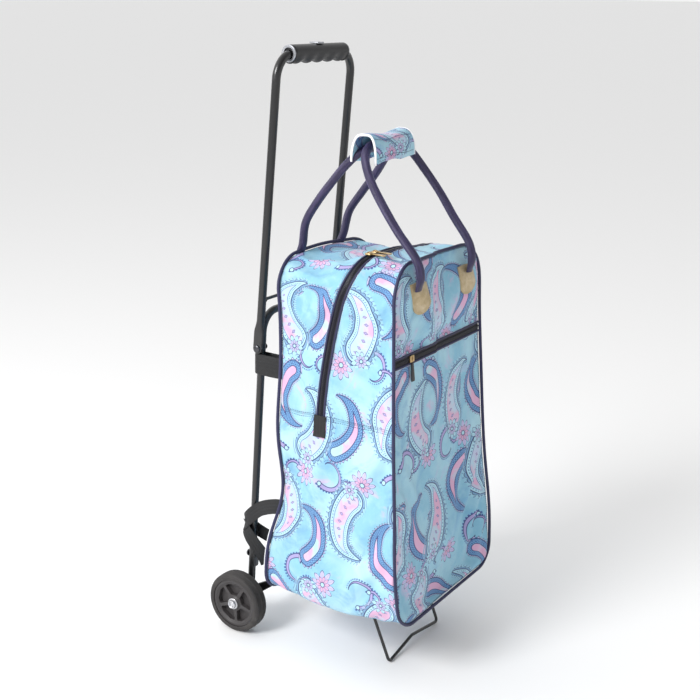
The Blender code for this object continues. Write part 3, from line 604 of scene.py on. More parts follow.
def metal(name, colour, roughness, grain_axis=(40.0, 900.0, 900.0)):
    """Plated metal with fine brushing and patches of tarnish."""
    look = Surface(name)
    stretch = look.node("ShaderNodeMapping")
    look.tree.links.new(look.object_place(), stretch.inputs["Vector"])
    stretch.inputs["Scale"].default_value = grain_axis
    brushed = look.noise(stretch.outputs[0], 1.0, 4.0, 0.7)
    tarnish = look.noise(look.object_place(), 130.0, 5.0, 0.6)
    look.colour(look.mix(((tarnish - 0.5) * 3.0).clamp() * 0.5, colour,
                         tuple(c * 0.62 for c in colour)))
    look.rough(roughness + (brushed - 0.5) * 0.22 + (tarnish - 0.5) * 0.12)
    look.bump(brushed, 0.0002, 0.35)
    look.uniform(Metallic=1.0)
    return look.material


def woven_strap(name, colour, crest_highlight_and_fleck, rib=0.0011, gloss=0.55):
    """Ribbed woven tape: threads across, cords along, in flat coordinates; its lighter colour is a painted
    highlight on the raised threads, mixed with random fuzz and faded tone.
    """
    look = Surface(name)
    x, y = look.flat()
    across = (y * (math.tau / rib)).sin()
    along = (x * (math.tau / (rib * 2.2)) + across.above(0.0) * math.pi).sin()
    thread = across * 0.5 + along * 0.5
    fuzz = look.noise(look.vector(x, y), 400.0, 3.0, 0.6)
    fade = look.noise(look.vector(x, y), 30.0, 4.0, 0.6)
    # painted highlight on the weave's raised threads, plus fuzz and fading as random lighter tone
    look.colour(look.mix(((thread * 0.25 + fuzz * 0.6 + fade * 0.6) - 0.42).clamp() * 0.8,
                         colour, crest_highlight_and_fleck))
    look.bump(thread * 0.5 + fuzz * 0.3, 0.0006, 0.55)
    look.rough(gloss + fuzz * 0.2)
    look.uniform(Sheen_Weight=0.08, Sheen_Roughness=0.4)
    return look.material


def satin(name):
    """Dark purple satin over a soft core, with a fine twill and pulled threads."""
    look = Surface(name)
    x, y = look.flat()
    twill = ((x + y) * (math.tau / 0.0012)).sin()
    slub = look.noise(look.vector(x * 0.3, y * 2.5), 90.0, 5.0, 0.65, 0.3)
    pucker = look.noise(look.vector(x * 2.0, y * 0.7), 45.0, 4.0, 0.6, 0.6)
    look.colour(look.mix(((slub - 0.42) * 2.6).clamp(), (0.019, 0.014, 0.052), (0.075, 0.056, 0.150)))
    look.bump(twill * 0.10 + pucker * 0.9, 0.0012, 0.6)
    look.rough(0.42 + (slub - 0.5) * 0.25)
    look.uniform(Sheen_Weight=0.35, Sheen_Roughness=0.35, Sheen_Tint=(0.55, 0.50, 0.85, 1.0),
                 Anisotropic=0.3)
    return look.material


def leather():
    look = Surface("leather")
    spot = look.object_place()
    pebble = look.voronoi(spot, 900.0)
    hide = look.noise(spot, 120.0, 6.0, 0.65, 0.4)
    worn = look.noise(spot, 40.0, 5.0, 0.6)
    colour = look.mix(((hide - 0.35) * 2.4).clamp(), (0.43, 0.33, 0.185), (0.62, 0.51, 0.33))
    colour = look.mix(((worn - 0.52) * 5.0).clamp() * 0.5, colour, (0.75, 0.66, 0.50))
    look.colour(colour)
    look.bump(pebble * 0.8 + hide * 0.4, 0.0005, 0.55)
    look.rough(0.38 + (hide - 0.5) * 0.3)
    look.uniform(Metallic=0.25, Coat_Weight=0.15, Coat_Roughness=0.3)
    return look.material


def thread_material(name, colour):
    look = Surface(name)
    spot = look.object_place()
    twist = look.noise(spot, 1800.0, 2.0, 0.6)
    look.colour(look.mix(twist * 0.6, colour, tuple(min(1.0, c * 1.7 + 0.02) for c in colour)))
    look.bump(twist, 0.0002, 0.5)
    look.rough(0.6 + (twist - 0.5) * 0.2)
    return look.material


def build_materials():
    return {
        "printed_fabric": printed_fabric(),
        "frame_black": worn_paint("frame_black", (0.0085, 0.0085, 0.0095), 0.30),
        "steel": metal("steel", (0.66, 0.66, 0.68), 0.34),
        "black_plastic": moulded_plastic("black_plastic", (0.022, 0.022, 0.024), 0.48),
        "grip_plastic": moulded_plastic("grip_plastic", (0.012, 0.012, 0.014), 0.42),
        "silver_plastic": metal("silver_plastic", (0.42, 0.43, 0.46), 0.42),
        "wheel_plastic": moulded_plastic("wheel_plastic", (0.040, 0.036, 0.037), 0.46),
        "tyre": rubber("tyre", (0.027, 0.024, 0.024)),
        "zip_tape": woven_strap("zip_tape", (0.006, 0.006, 0.014), (0.035, 0.035, 0.06), 0.0009, 0.5),
        "zip_coil": moulded_plastic("zip_coil", (0.010, 0.010, 0.018), 0.30),
        "board": moulded_plastic("board", (0.16, 0.16, 0.17), 0.6, 500.0),
        "piping": thread_material("piping", (0.012, 0.012, 0.055)),
        "leather": leather(),
        "strap_fabric": satin("strap_fabric"),
        "webbing": woven_strap("webbing", (0.0035, 0.0035, 0.0045), (0.018, 0.018, 0.020), 0.0015, 0.5),
        "dark_steel": metal("dark_steel", (0.085, 0.085, 0.092), 0.30),
        "brass": metal("brass", (0.56, 0.40, 0.20), 0.33, (300.0, 300.0, 300.0)),
        "navy_thread": thread_material("navy_thread", (0.020, 0.028, 0.10)),
        "pale_thread": thread_material("pale_thread", (0.55, 0.60, 0.66)),
        "tan_thread": thread_material("tan_thread", (0.45, 0.33, 0.17)),
        "white_binding": thread_material("white_binding", (0.78, 0.79, 0.82)),
    }


# ---------------------------------------------------------------- mesh tools
def read_all(items, field, width, kind=np.float32):
    """One field of every item, as an array of rows."""
    values = np.empty(len(items) * width, kind)
    items.foreach_get(field, values)
    return values.reshape(-1, width) if width > 1 else values


def shaded(mesh, sharp_angle):
    mesh.shade_smooth()
    mesh.set_sharp_from_angle(angle=math.radians(sharp_angle))


def mesh_piece(name, points, faces, material, flat=None, sharp_angle=40.0):
    """A named mesh object; flat gives each vertex its place on the cut cloth."""
    mesh = bpy.data.meshes.new(name)
    mesh.from_pydata([tuple(point) for point in points], [], [tuple(face) for face in faces])
    if flat is not None:
        layer = mesh.uv_layers.new(name="flat")
        corners = read_all(mesh.loops, "vertex_index", 1, np.int32)
        layer.data.foreach_set("uv", np.asarray(flat, np.float32)[corners].ravel())
    shaded(mesh, sharp_angle)
    return add_object(name, mesh, material)


def built_piece(name, builder, material, rims, bevel, sharp_angle=40.0):
    """A piece made from a bmesh whose chosen edges are rounded."""
    bmesh.ops.bevel(builder, geom=rims, offset=bevel, segments=3, profile=0.5, affect='EDGES')
    mesh = bpy.data.meshes.new(name)
    builder.to_mesh(mesh)
    builder.free()
    shaded(mesh, sharp_angle)
    return add_object(name, mesh, material)


def apply_modifiers(piece):
    graph = bpy.context.evaluated_depsgraph_get()
    piece.data = bpy.data.meshes.new_from_object(piece.evaluated_get(graph))
    piece.modifiers.clear()


def face_outward(piece):
    builder = bmesh.new()
    builder.from_mesh(piece.data)
    bmesh.ops.recalc_face_normals(builder, faces=builder.faces)
    builder.to_mesh(piece.data)
    builder.free()


def finish_piece(piece, body, slot, *nodes):
    """Say which body the piece rides and the CAD nodes that it replaces; the slot argument is not used."""
    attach(piece, body)
    if nodes:
        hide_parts(*nodes)
    return piece


def fillet(corners, radii, steps=10):
    """A polyline with each inner corner replaced by an arc."""
    path = [corners[0]]
    for before, corner, after, radius in zip(corners, corners[1:], corners[2:], radii):
        into = (before - corner).normalized()
        out = (after - corner).normalized()
        half_angle = into.angle(out) / 2
        centre = corner + (into + out).normalized() * (radius / math.sin(half_angle))
        reach = radius / math.tan(half_angle)
        start = corner + into * reach - centre
        axis = start.cross(out * reach + corner - centre)
        for step in range(steps + 1):
            turn = Matrix.Rotation((math.pi - 2 * half_angle) * step / steps, 3, axis)
            path.append(centre + turn @ start)
    path.append(corners[-1])
    return path


def smooth_path(points, steps):
    """A Catmull-Rom curve through the points."""
    ends = [points[0] * 2 - points[1]] + points + [points[-1] * 2 - points[-2]]
    path = []
    for a, b, c, d in zip(ends, ends[1:], ends[2:], ends[3:]):
        for step in range(steps):
            t = step / steps
            path.append(0.5 * (2 * b + (c - a) * t + (2 * a - 5 * b + 4 * c - d) * t * t
                               + (3 * b - a - 3 * c + d) * t ** 3))
    path.append(points[-1])
    return path


def travelled(points):
    """How far along the path each point is."""
    lengths = [0.0]
    for a, b in zip(points, points[1:]):
        lengths.append(lengths[-1] + (b - a).length)
    return lengths


def even_path(points, spacing):
    """The same path with points an even distance apart."""
    lengths = travelled(points)
    count = max(2, round(lengths[-1] / spacing) + 1)
    path = []
    index = 0
    for step in range(count):
        target = lengths[-1] * step / (count - 1)
        while index < len(lengths) - 2 and lengths[index + 1] < target:
            index += 1
        stretch = max(lengths[index + 1] - lengths[index], 1e-9)
        path.append(points[index].lerp(points[index + 1], (target - lengths[index]) / stretch))
    return path


def carried_frames(path, first_side, closed=False):
    """Two directions across the path at each point, carried along without twist."""
    side = Vector(first_side)
    frames = []
    last = len(path) - 1
    for index in range(len(path)):
        ahead = path[(index + 1) % len(path)] if closed else path[min(index + 1, last)]
        behind = path[index - 1] if closed else path[max(index - 1, 0)]
        tangent = (ahead - behind).normalized()
        side = (side - tangent * side.dot(tangent)).normalized()
        frames.append((side.copy(), tangent.cross(side)))
    return frames


def sweep(name, path, size, first_side, material, sides=24, power=1.0, wall=None, closed=False,
          frames=None):
    """Carry a rounded section along a path; size is its two half sizes, or gives them for an index."""
    frames = frames or carried_frames(path, first_side, closed)
    lengths = travelled(path)
    points, flat, faces = [], [], []

    def add_rings(inset):
        base = len(points)
        for index, (point, (side, other)) in enumerate(zip(path, frames)):
            half_side, half_other = size(index) if callable(size) else size
            for k in range(sides):
                turn = math.tau * k / sides
                u, v = math.cos(turn), math.sin(turn)
                u = math.copysign(abs(u) ** power, u)
                v = math.copysign(abs(v) ** power, v)
                points.append(point + side * u * (half_side - inset) + other * v * (half_other - inset))
                around = turn * (half_side + half_other) / 2
                flat.append((lengths[index], around))
        return base

    def skin(base, outward):
        rounds = len(path) if closed else len(path) - 1
        for ring in range(rounds):
            following = (ring + 1) % len(path)
            for k in range(sides):
                a, b = base + ring * sides + k, base + ring * sides + (k + 1) % sides
                c, d = base + following * sides + (k + 1) % sides, base + following * sides + k
                faces.append((a, b, c, d) if outward else (d, c, b, a))

    outer = add_rings(0.0)
    skin(outer, True)
    end = (len(path) - 1) * sides
    if wall is not None:
        inner = add_rings(wall)
        skin(inner, False)
        for k in range(sides):
            n = (k + 1) % sides
            faces.append((outer + n, outer + k, inner + k, inner + n))
            faces.append((outer + end + k, outer + end + n, inner + end + n, inner + end + k))
    elif not closed:
        faces.append(tuple(range(outer + sides - 1, outer - 1, -1)))
        faces.append(tuple(range(outer + end, outer + end + sides)))
    return mesh_piece(name, points, faces, material, flat)


def swept_part(name, path, size, first_side, material, body, slot, *nodes, sides=14, **settings):
    """A swept piece with its faces turned outward, finished."""
    piece = sweep(name, path, size, first_side, material, sides, **settings)
    face_outward(piece)
    return finish_piece(piece, body, slot, *nodes)


def mirrored(outline):
    """An outline and its mirror image, as one closed outline."""
    return outline + [(-u, v) for u, v in reversed(outline)]


def turned(name, profile, centre, material, segments=64, axis='X', sharp_angle=30.0):
    """Turn a closed (along, radius) outline about an axis; radius 0 meets the axis."""
    points, faces = [], []
    rings = []
    for along, radius in profile:
        ring = []
        for turn in range(1 if radius == 0.0 else segments):
            angle = math.tau * turn / segments
            across = (radius * math.cos(angle), radius * math.sin(angle))
            spot = (along, *across) if axis == 'X' else (across[0], along, across[1])
            ring.append(len(points))
            points.append(centre + Vector(spot))
        rings.append(ring)
    for ring, following in zip(rings, rings[1:] + rings[:1]):
        if len(ring) == 1 and len(following) == 1:
            continue
        for turn in range(segments):
            after = (turn + 1) % segments
            corners = (ring[turn % len(ring)], ring[after % len(ring)],
                       following[after % len(following)], following[turn % len(following)])
            faces.append(tuple(dict.fromkeys(corners)))
    piece = mesh_piece(name, points, faces, material, sharp_angle=sharp_angle)
    face_outward(piece)
    return piece


def turned_part(name, sign, outline, centre, material, segments, body, slot, *nodes, **settings):
    """A finished turned piece; the sign mirrors its outline."""
    profile = [(sign * along, radius) for along, radius in outline]
    piece = turned(name, profile, centre, material, segments, **settings)
    return finish_piece(piece, body, slot, *nodes)


def soft_box(name, centre, axes, half_sizes, material, bevel):
    """A box with rounded edges, standing on three given directions."""
    builder = bmesh.new()
    bmesh.ops.create_cube(builder, size=2.0)
    for vertex in builder.verts:
        offset = Vector((0, 0, 0))
        for axis, half, amount in zip(axes, half_sizes, vertex.co):
            offset += Vector(axis) * half * amount
        vertex.co = centre + offset
    bmesh.ops.recalc_face_normals(builder, faces=builder.faces)
    return built_piece(name, builder, material, builder.edges[:], bevel)


# ---------------------------------------------------------------- the bag's stuffed shape
TABS = {
    "front_tab_left": (-0.078, 1), "front_tab_right": (0.078, 1),
    "rear_tab_left": (-0.055, 0), "rear_tab_right": (0.055, 0),
}
TAB_HALF = 0.0185
TAB_HEIGHT = 0.047
TAB_TOP = 0.616
TAB_LIFT, TAB_THICKNESS = 0.0005, 0.0022
ZIP_HALF_WIDTH = 0.007
CLOTH = 0.0011
ARC_STEPS = 24
CURVE_STEPS = 9                      # points between two knots of a smooth path
TOOTH_PITCH = 0.0017
WEBBING_THICKNESS = 0.0015
TAPE_EDGE = 0.45                     # the power that squares a tape's section
CLOTH_SETTINGS = {"quality": 6, "mass": 0.25, "tension_stiffness": 18, "compression_stiffness": 18,
                  "shear_stiffness": 8, "bending_stiffness": 1.2, "pin_stiffness": 1.0,
                  "shrink_min": -0.022, "use_pressure": True, "uniform_pressure_force": 1.6}
CLOTH_FRAMES = 40
DRIFT_LIMIT = 0.016                  # how far the simulation may move a point of the cloth


def hump(value, centre, width):
    return np.exp(-((value - centre) / width) ** 2)


def ease(value, start, end):
    share = np.clip((value - start) / (end - start), 0, 1)
    return share * share * (3 - 2 * share)


def stuffed(x, forward, z):
    """Where the filled bag's cloth lies, for a point given on the flat-sided bag."""
    x, forward, z = (np.asarray(v, float) for v in (x, forward, z))
    rear = BACK_AT_GROUND + BACK_LEAN * z
    front = FRONT_AT_GROUND - FRONT_LEAN_BACK * z
    share = np.clip((forward - rear) / (front - rear), 0, 1)
    across = np.clip(abs(x) / BAG_HALF_WIDTH, 0, 1)
    flare = np.where(x > 0, 0.014, 0.003 + 0.007 * share) * hump(z, 0.185, 0.090)
    slim = np.where(x < 0, (0.012 + 0.006 * share) * ease(z, 0.30, 0.60), 0.0)
    bow = 0.026 * hump(z, 0.275, 0.075) + 0.018 * hump(z, 0.46, 0.16)
    chest = 0.010 * hump(z, 0.590, 0.045) + 0.004 * ease(z, 0.35, 0.60) * (x < 0)
    top = ease(z, 0.560, BAG_TOP)
    drop_back = (0.015 + 0.004 * across ** 2) * (1 - share) ** 2 + 0.003 * share ** 4
    shoulder = 0.014 * hump(forward, 0.130, 0.038) * hump(x, -0.015, 0.080)
    saddle = 0.013 * hump(forward, 0.160, 0.070) * hump(x, 0.080, 0.055)
    pull = sum(hump(x, tab_x + 0.016, 0.024) for tab_x in (-0.078, 0.078))
    chest = chest + 0.011 * pull * hump(z, 0.592, 0.034)
    hem = 0.009 * share ** 3 * (1 - ease(z, BAG_BOTTOM, BAG_BOTTOM + 0.060))
    new_x = x + np.sign(x) * across * flare + slim * across ** 2
    new_forward = (forward + bow * across ** 2 * (1 - share) ** 2
                   + chest * share ** 3 * (1 - 0.8 * across ** 4))
    return new_x, new_forward, z + hem + top * (shoulder - saddle - drop_back)


def stuffed_place(x, forward, z):
    return place(*(float(v) for v in stuffed(x, forward, z)))


def resample(points, count):
    """Evenly spaced points along a 2-D polyline."""
    points = np.asarray(points, float)
    steps = np.hypot(*np.diff(points, axis=0).T)
    travel = np.concatenate([[0], np.cumsum(steps)])
    targets = np.linspace(0, travel[-1], count + 1)
    return np.stack([np.interp(targets, travel, points[:, axis]) for axis in (0, 1)], axis=1)


def arc(centre_x, centre_z, radius, start_deg, end_deg):
    angles = np.radians(np.linspace(start_deg, end_deg, ARC_STEPS + 1))
    return np.stack([centre_x + radius * np.cos(angles), centre_z + radius * np.sin(angles)], axis=1)


LOW_X = BAG_HALF_WIDTH - BAG_BOTTOM_RADIUS
LOW_Z = BAG_BOTTOM + BAG_BOTTOM_RADIUS
HIGH_X = BAG_HALF_WIDTH - BAG_TOP_RADIUS
HIGH_Z = BAG_TOP - BAG_TOP_RADIUS
CELLS_ACROSS = 42
ROWS = ((None, SEAM_Z, 46), (SEAM_Z, POCKET_ZIP_LOW, 14), (POCKET_ZIP_LOW, POCKET_ZIP_HIGH, 2),
        (POCKET_ZIP_HIGH, None, 26))
CELLS_UP = sum(rows for _, _, rows in ROWS)
CELLS_REAR, CELLS_ZIP, CELLS_FRONT = 12, 2, 18
CELLS_DEEP = CELLS_REAR + CELLS_ZIP + CELLS_FRONT
REGIONS = ("front_panel", "front_pocket", "pocket_zip_tape", "back_panel", "front_gusset",
           "rear_gusset", "main_zip_tape", "lower_side_left", "lower_side_right", "bottom_panel")
REGION_SHIFT = {"front_panel": (0, 0), "front_pocket": (0, 0), "pocket_zip_tape": (0, 0),
                "back_panel": (0.61, 0.23)}


def right_edge():
    """The outline's right side, from the middle of one rounded corner to the middle of the next."""
    low = arc(LOW_X, LOW_Z, BAG_BOTTOM_RADIUS, -45, 0)
    high = arc(HIGH_X, HIGH_Z, BAG_TOP_RADIUS, 0, 45)
    rows = []
    for start, end, count in ROWS:
        run = []
        if start is None:
            run += list(low)
        else:
            run.append((BAG_HALF_WIDTH, start))
        if end is None:
            run += list(high)
        else:
            run.append((BAG_HALF_WIDTH, end))
        piece = resample(run, count)
        rows += list(piece if not rows else piece[1:])
    return np.array(rows)


def panel_grid():
    """(x, z) of the grid that fills the outline, columns across and rows up."""
    right = right_edge()
    left = right * (-1, 1)
    bottom = resample(np.concatenate([arc(-LOW_X, LOW_Z, BAG_BOTTOM_RADIUS, 225, 270),
                                      arc(LOW_X, LOW_Z, BAG_BOTTOM_RADIUS, 270, 315)]), CELLS_ACROSS)
    top = resample(np.concatenate([arc(-HIGH_X, HIGH_Z, BAG_TOP_RADIUS, 135, 90),
                                   arc(HIGH_X, HIGH_Z, BAG_TOP_RADIUS, 90, 45)]), CELLS_ACROSS)
    low_end = LOW_Z + 0.070
    high_start = 0.530
    grid = np.empty((CELLS_ACROSS + 1, CELLS_UP + 1, 2))
    for i in range(CELLS_ACROSS + 1):
        u = i / CELLS_ACROSS
        for j in range(CELLS_UP + 1):
            z = right[j][1]
            straight = left[j] * (1 - u) + right[j] * u
            low = np.clip((low_end - z) / (low_end - right[0][1]), 0, 1) ** 1.4
            high = np.clip((z - high_start) / (right[-1][1] - high_start), 0, 1) ** 1.4
            point = straight + low * (bottom[i] - (left[0] * (1 - u) + right[0] * u))
            grid[i, j] = point + high * (top[i] - (left[-1] * (1 - u) + right[-1] * u))
    return grid


class Skin:
    """The bag's closed skin: a front grid, a back grid and a band of cloth between them."""

    def __init__(self):
        self.rest = []               # (x, forward, z) on the flat-sided bag
        self.pins = []
        grid = panel_grid()
        self.front = self.add_panel(grid, 1)
        self.back = self.add_panel(grid, 0)
        across, up = CELLS_ACROSS, CELLS_UP
        self.loop = ([(i, 0) for i in range(across)] + [(across, j) for j in range(up)]
                     + [(i, up) for i in range(across, 0, -1)] + [(0, j) for j in range(up, 0, -1)])
        self.band = self.add_band(grid)
        self.faces, self.regions, self.flats = [], [], []
        self.add_panel_faces()
        self.add_band_faces()
        self.rest = np.array(self.rest)
        self.pins = np.array(self.pins)
        self.place = self.world(self.rest)

    def world(self, rest):
        x, forward, z = stuffed(*rest.T)
        return np.stack([x, AXLE_Y - forward, z], axis=1)

    def add_panel(self, grid, share):
        index = np.empty(grid.shape[:2], int)
        for i in range(grid.shape[0]):
            for j in range(grid.shape[1]):
                x, z = grid[i, j]
                forward = front_forward(z) if share else back_forward(z)
                edge = i in (0, CELLS_ACROSS) or j in (0, CELLS_UP)
                on_zip = share and POCKET_ZIP_LOW - 1e-4 < z < POCKET_ZIP_HIGH + 1e-4
                on_tab = any(side == share and abs(x - tab_x) < TAB_HALF + 0.002
                             and TAB_TOP - TAB_HEIGHT < z < TAB_TOP + 0.008
                             for tab_x, side in TABS.values())
                index[i, j] = len(self.rest)
                self.rest.append((x, forward, z))
                self.pins.append(1.0 if edge or on_zip or on_tab else 0.0)
        return index

    def add_band(self, grid):
        """Vertices of the band, from the back edge to the front edge at each place of the loop."""
        index = np.empty((len(self.loop), CELLS_DEEP + 1), int)
        for k, (i, j) in enumerate(self.loop):
            x, z = grid[i, j]
            stations = (back_forward(z), zip_forward(z) - ZIP_HALF_WIDTH,
                        zip_forward(z) + ZIP_HALF_WIDTH, front_forward(z))
            depth = []
            for start, end, count in zip(stations, stations[1:], (CELLS_REAR, CELLS_ZIP, CELLS_FRONT)):
                depth += [start + (end - start) * step / count for step in range(count)]
            index[k, 0] = self.back[i, j]
            index[k, CELLS_DEEP] = self.front[i, j]
            for d in range(1, CELLS_DEEP):
                on_zip = CELLS_REAR <= d <= CELLS_REAR + CELLS_ZIP and z > SEAM_Z - 0.032
                on_board = z < BAG_BOTTOM + 0.002 and 3 <= d <= CELLS_DEEP - 3
                index[k, d] = len(self.rest)
                self.rest.append((x, depth[d], z))
                self.pins.append(1.0 if on_zip or on_board else 0.0)
        return index

    def add_face(self, corners, region, flat):
        self.faces.append(corners)
        self.regions.append(REGIONS.index(region))
        self.flats += flat

    def add_panel_faces(self):
        for share, index in ((1, self.front), (0, self.back)):
            for i in range(CELLS_ACROSS):
                for j in range(CELLS_UP):
                    spots = ((i, j), (i + 1, j), (i + 1, j + 1), (i, j + 1))
                    corners = [index[s] for s in spots]
                    middle = sum(self.rest[c][2] for c in corners) / 4
                    if not share:
                        region = "back_panel"
                    elif middle < POCKET_ZIP_LOW:
                        region = "front_pocket"
                    elif middle < POCKET_ZIP_HIGH and j < CELLS_UP - 20:
                        region = "pocket_zip_tape"
                    else:
                        region = "front_panel"
                    shift = REGION_SHIFT[region]
                    flat = [(self.rest[c][0] + shift[0], self.rest[c][2] + shift[1]) for c in corners]
                    if not share:
                        corners, flat = corners[::-1], flat[::-1]
                    self.add_face(corners, region, flat)

    def add_band_faces(self):
        """Faces of the band; flat coordinates run forwards and round the loop from its lowest middle."""
        count = len(self.loop)
        travel = [0.0]
        for k in range(count):
            a = self.rest[self.band[k, CELLS_DEEP]]
            b = self.rest[self.band[(k + 1) % count, CELLS_DEEP]]
            travel.append(travel[-1] + math.hypot(b[0] - a[0], b[2] - a[2]))
        for k in range(count):
            after = (k + 1) % count
            side = "left" if self.rest[self.band[k, 0]][0] < 0 else "right"
            for d in range(CELLS_DEEP):
                spots = ((k, d), (k, d + 1), (after, d + 1), (after, d))
                corners = [self.band[s] for s in spots]
                middle = sum(self.rest[c][2] for c in corners) / 4
                if k < CELLS_ACROSS:
                    region = "bottom_panel"
                elif middle < SEAM_Z:
                    region = "lower_side_" + side
                elif d < CELLS_REAR:
                    region = "rear_gusset"
                elif d < CELLS_REAR + CELLS_ZIP:
                    region = "main_zip_tape"
                else:
                    region = "front_gusset"
                along = (travel[k], travel[k], travel[k + 1], travel[k + 1])
                flat = [(self.rest[c][1] + 1.37, a + 0.53) for c, a in zip(corners, along)]
                self.add_face(corners[::-1], region, flat[::-1])

    def to_object(self, name):
        mesh = bpy.data.meshes.new(name)
        mesh.from_pydata(self.place.tolist(), [], [tuple(int(c) for c in face) for face in self.faces])
        layer = mesh.uv_layers.new(name="flat")
        layer.data.foreach_set("uv", np.asarray(self.flats, np.float32).ravel())
        mesh.polygons.foreach_set("material_index", np.asarray(self.regions, np.int32))
        return add_object(name, mesh)

    def settle(self, skin):
        """Let the cloth swell and hang between its seams, then keep the result."""
        group = skin.vertex_groups.new(name="sewn")
        for index in np.nonzero(self.pins)[0]:
            group.add([int(index)], float(self.pins[index]), 'REPLACE')
        cloth = skin.modifiers.new("cloth", 'CLOTH')
        for key, value in CLOTH_SETTINGS.items():
            setattr(cloth.settings, key, value)
        cloth.settings.vertex_group_mass = "sewn"
        cloth.collision_settings.use_collision = False
        cloth.collision_settings.use_self_collision = False
        cloth.point_cache.frame_start = 1
        cloth.point_cache.frame_end = CLOTH_FRAMES
        scene = bpy.context.scene
        for step in range(1, CLOTH_FRAMES + 1):
            scene.frame_set(step)
        graph = bpy.context.evaluated_depsgraph_get()
        moved = read_all(skin.evaluated_get(graph).to_mesh().vertices, "co", 3).astype(float)
        skin.evaluated_get(graph).to_mesh_clear()
        skin.modifiers.remove(cloth)
        scene.frame_set(1)
        drift = moved - self.place
        far = np.linalg.norm(drift, axis=1, keepdims=True)
        self.place = self.place + drift * np.minimum(1.0, DRIFT_LIMIT / np.maximum(far, 1e-9))

    def update(self, skin):
        """Move the mesh's vertices to where the skin's places are."""
        skin.data.vertices.foreach_set("co", self.place.astype(np.float32).ravel())
        skin.data.update()

    def crease(self, skin):
        """Press soft dents and long folds into the settled cloth, away from its seams."""
        self.update(skin)
        normals = read_all(skin.data.vertices, "normal", 3).astype(float)
        x, forward, z = self.rest.T
        front = forward > front_forward(z) - 0.001
        depth = np.zeros(len(x))
        for index in range(len(x)):
            spot = Vector(self.rest[index])
            broad = noise.noise(spot * 11.0) + 0.5 * noise.noise(spot * 23.0 + Vector((4, 1, 7)))
            ridge = 1 - abs(noise.noise(Vector((spot.x * 16, spot.y * 16, spot.z * 7)))) * 3.2
            depth[index] = 0.0034 * broad + 0.0018 * max(0.0, ridge)
        across = x * 0.90 - z * 0.43
        corner = hump(x, 0.095, 0.055) * hump(z, 0.225, 0.130) * front
        depth += 0.0042 * corner * np.sin(across * (math.tau / 0.034) + 0.8)
        waist = (~front) * hump(z, 0.300, 0.060) * (x < 0) * hump(forward, 0.10, 0.06)
        depth -= 0.0035 * waist * (0.5 + 0.5 * np.sin((z + forward * 0.9) * (math.tau / 0.045)))
        edge = np.minimum(abs(forward - front_forward(z)), abs(forward - back_forward(z)))
        outline = np.minimum(BAG_HALF_WIDTH - abs(x), np.minimum(BAG_TOP - z, z - BAG_BOTTOM))
        near = np.where(np.minimum(edge, 1) < 0.001, outline, edge)
        free = (self.pins == 0) * ease(near, 0.0, 0.030)
        self.place = self.place + normals * (depth * free)[:, None]

    def pinch(self):
        """Press the cloth in slightly along the seam that joins the upper and lower sides."""
        x, _, z = self.rest.T
        chosen = (abs(z - SEAM_Z) < 0.001) & (abs(x) > BAG_HALF_WIDTH - 0.001) & (self.pins == 0)
        self.place[chosen, 0] -= np.sign(x[chosen]) * 0.0012

    def split(self, skin, materials):
        """One piece of cloth for each region."""
        self.update(skin)
        smooth = skin.modifiers.new("smooth", 'SUBSURF')
        smooth.levels = 1
        smooth.render_levels = 1
        smooth.boundary_smooth = 'PRESERVE_CORNERS'
        graph = bpy.context.evaluated_depsgraph_get()
        mesh = bpy.data.meshes.new_from_object(skin.evaluated_get(graph))
        bpy.data.objects.remove(skin)
        spots = read_all(mesh.vertices, "co", 3)
        corners = read_all(mesh.loops, "vertex_index", 1, np.int32).reshape(-1, 4)
        flat = read_all(mesh.uv_layers["flat"].data, "uv", 2).reshape(-1, 4, 2)
        region = read_all(mesh.polygons, "material_index", 1, np.int32)
        for number, name in enumerate(REGIONS):
            chosen = np.nonzero(region == number)[0]
            used, faces = np.unique(corners[chosen], return_inverse=True)
            part = bpy.data.meshes.new(name + "_cloth")
            part.from_pydata(spots[used].tolist(), [], faces.reshape(-1, 4).tolist())
            layer = part.uv_layers.new(name="flat")
            layer.data.foreach_set("uv", flat[chosen].ravel())
            part.shade_smooth()
            slot = "zip_tape" if "zip" in name else "printed_fabric"
            piece = add_object(name + "_cloth", part, materials[slot])
            thick = piece.modifiers.new("thickness", 'SOLIDIFY')
            thick.thickness = CLOTH
            thick.offset = -1.0
            apply_modifiers(piece)
            finish_piece(piece, "bag", slot, name)
        bpy.data.meshes.remove(mesh)

    def spot(self, index):
        return Vector(self.place[index])

    def in_cell(self, corners, u, v):
        """The point at shares u and v of a cell of four corners, and the cell's normal."""
        a, b, c, d = (self.spot(corner) for corner in corners)
        point = (a * (1 - u) + b * u) * (1 - v) + (d * (1 - u) + c * u) * v
        return point, (b - a + c - d).cross(d - a + c - b).normalized()

    def panel_line(self, index, i_at, j_at):
        """The point at a fractional place of a panel's grid, and the outward normal there."""
        i, j = min(int(i_at), CELLS_ACROSS - 1), min(int(j_at), CELLS_UP - 1)
        corners = (index[i, j], index[i + 1, j], index[i + 1, j + 1], index[i, j + 1])
        point, normal = self.in_cell(corners, i_at - i, j_at - j)
        outward = -1 if index is self.front else 1
        return point, normal if normal.y * outward > 0 else -normal

    def band_line(self, k_at, d_at):
        """The same for the band, at a fractional place of the loop and of its depth."""
        k, d = int(math.floor(k_at)), min(int(d_at), CELLS_DEEP - 1)
        here, after = k % len(self.loop), (k + 1) % len(self.loop)
        corners = (self.band[here, d], self.band[after, d], self.band[after, d + 1], self.band[here, d + 1])
        point, normal = self.in_cell(corners, k_at - k, d_at - d)
        outward = Vector((point.x, 0, point.z - 0.4))
        return point, normal if normal.dot(outward) >= 0 else -normal


def lifted(line, height):
    """The points of (point, normal) places, raised off the surface."""
    return [point + normal * height for point, normal in line]


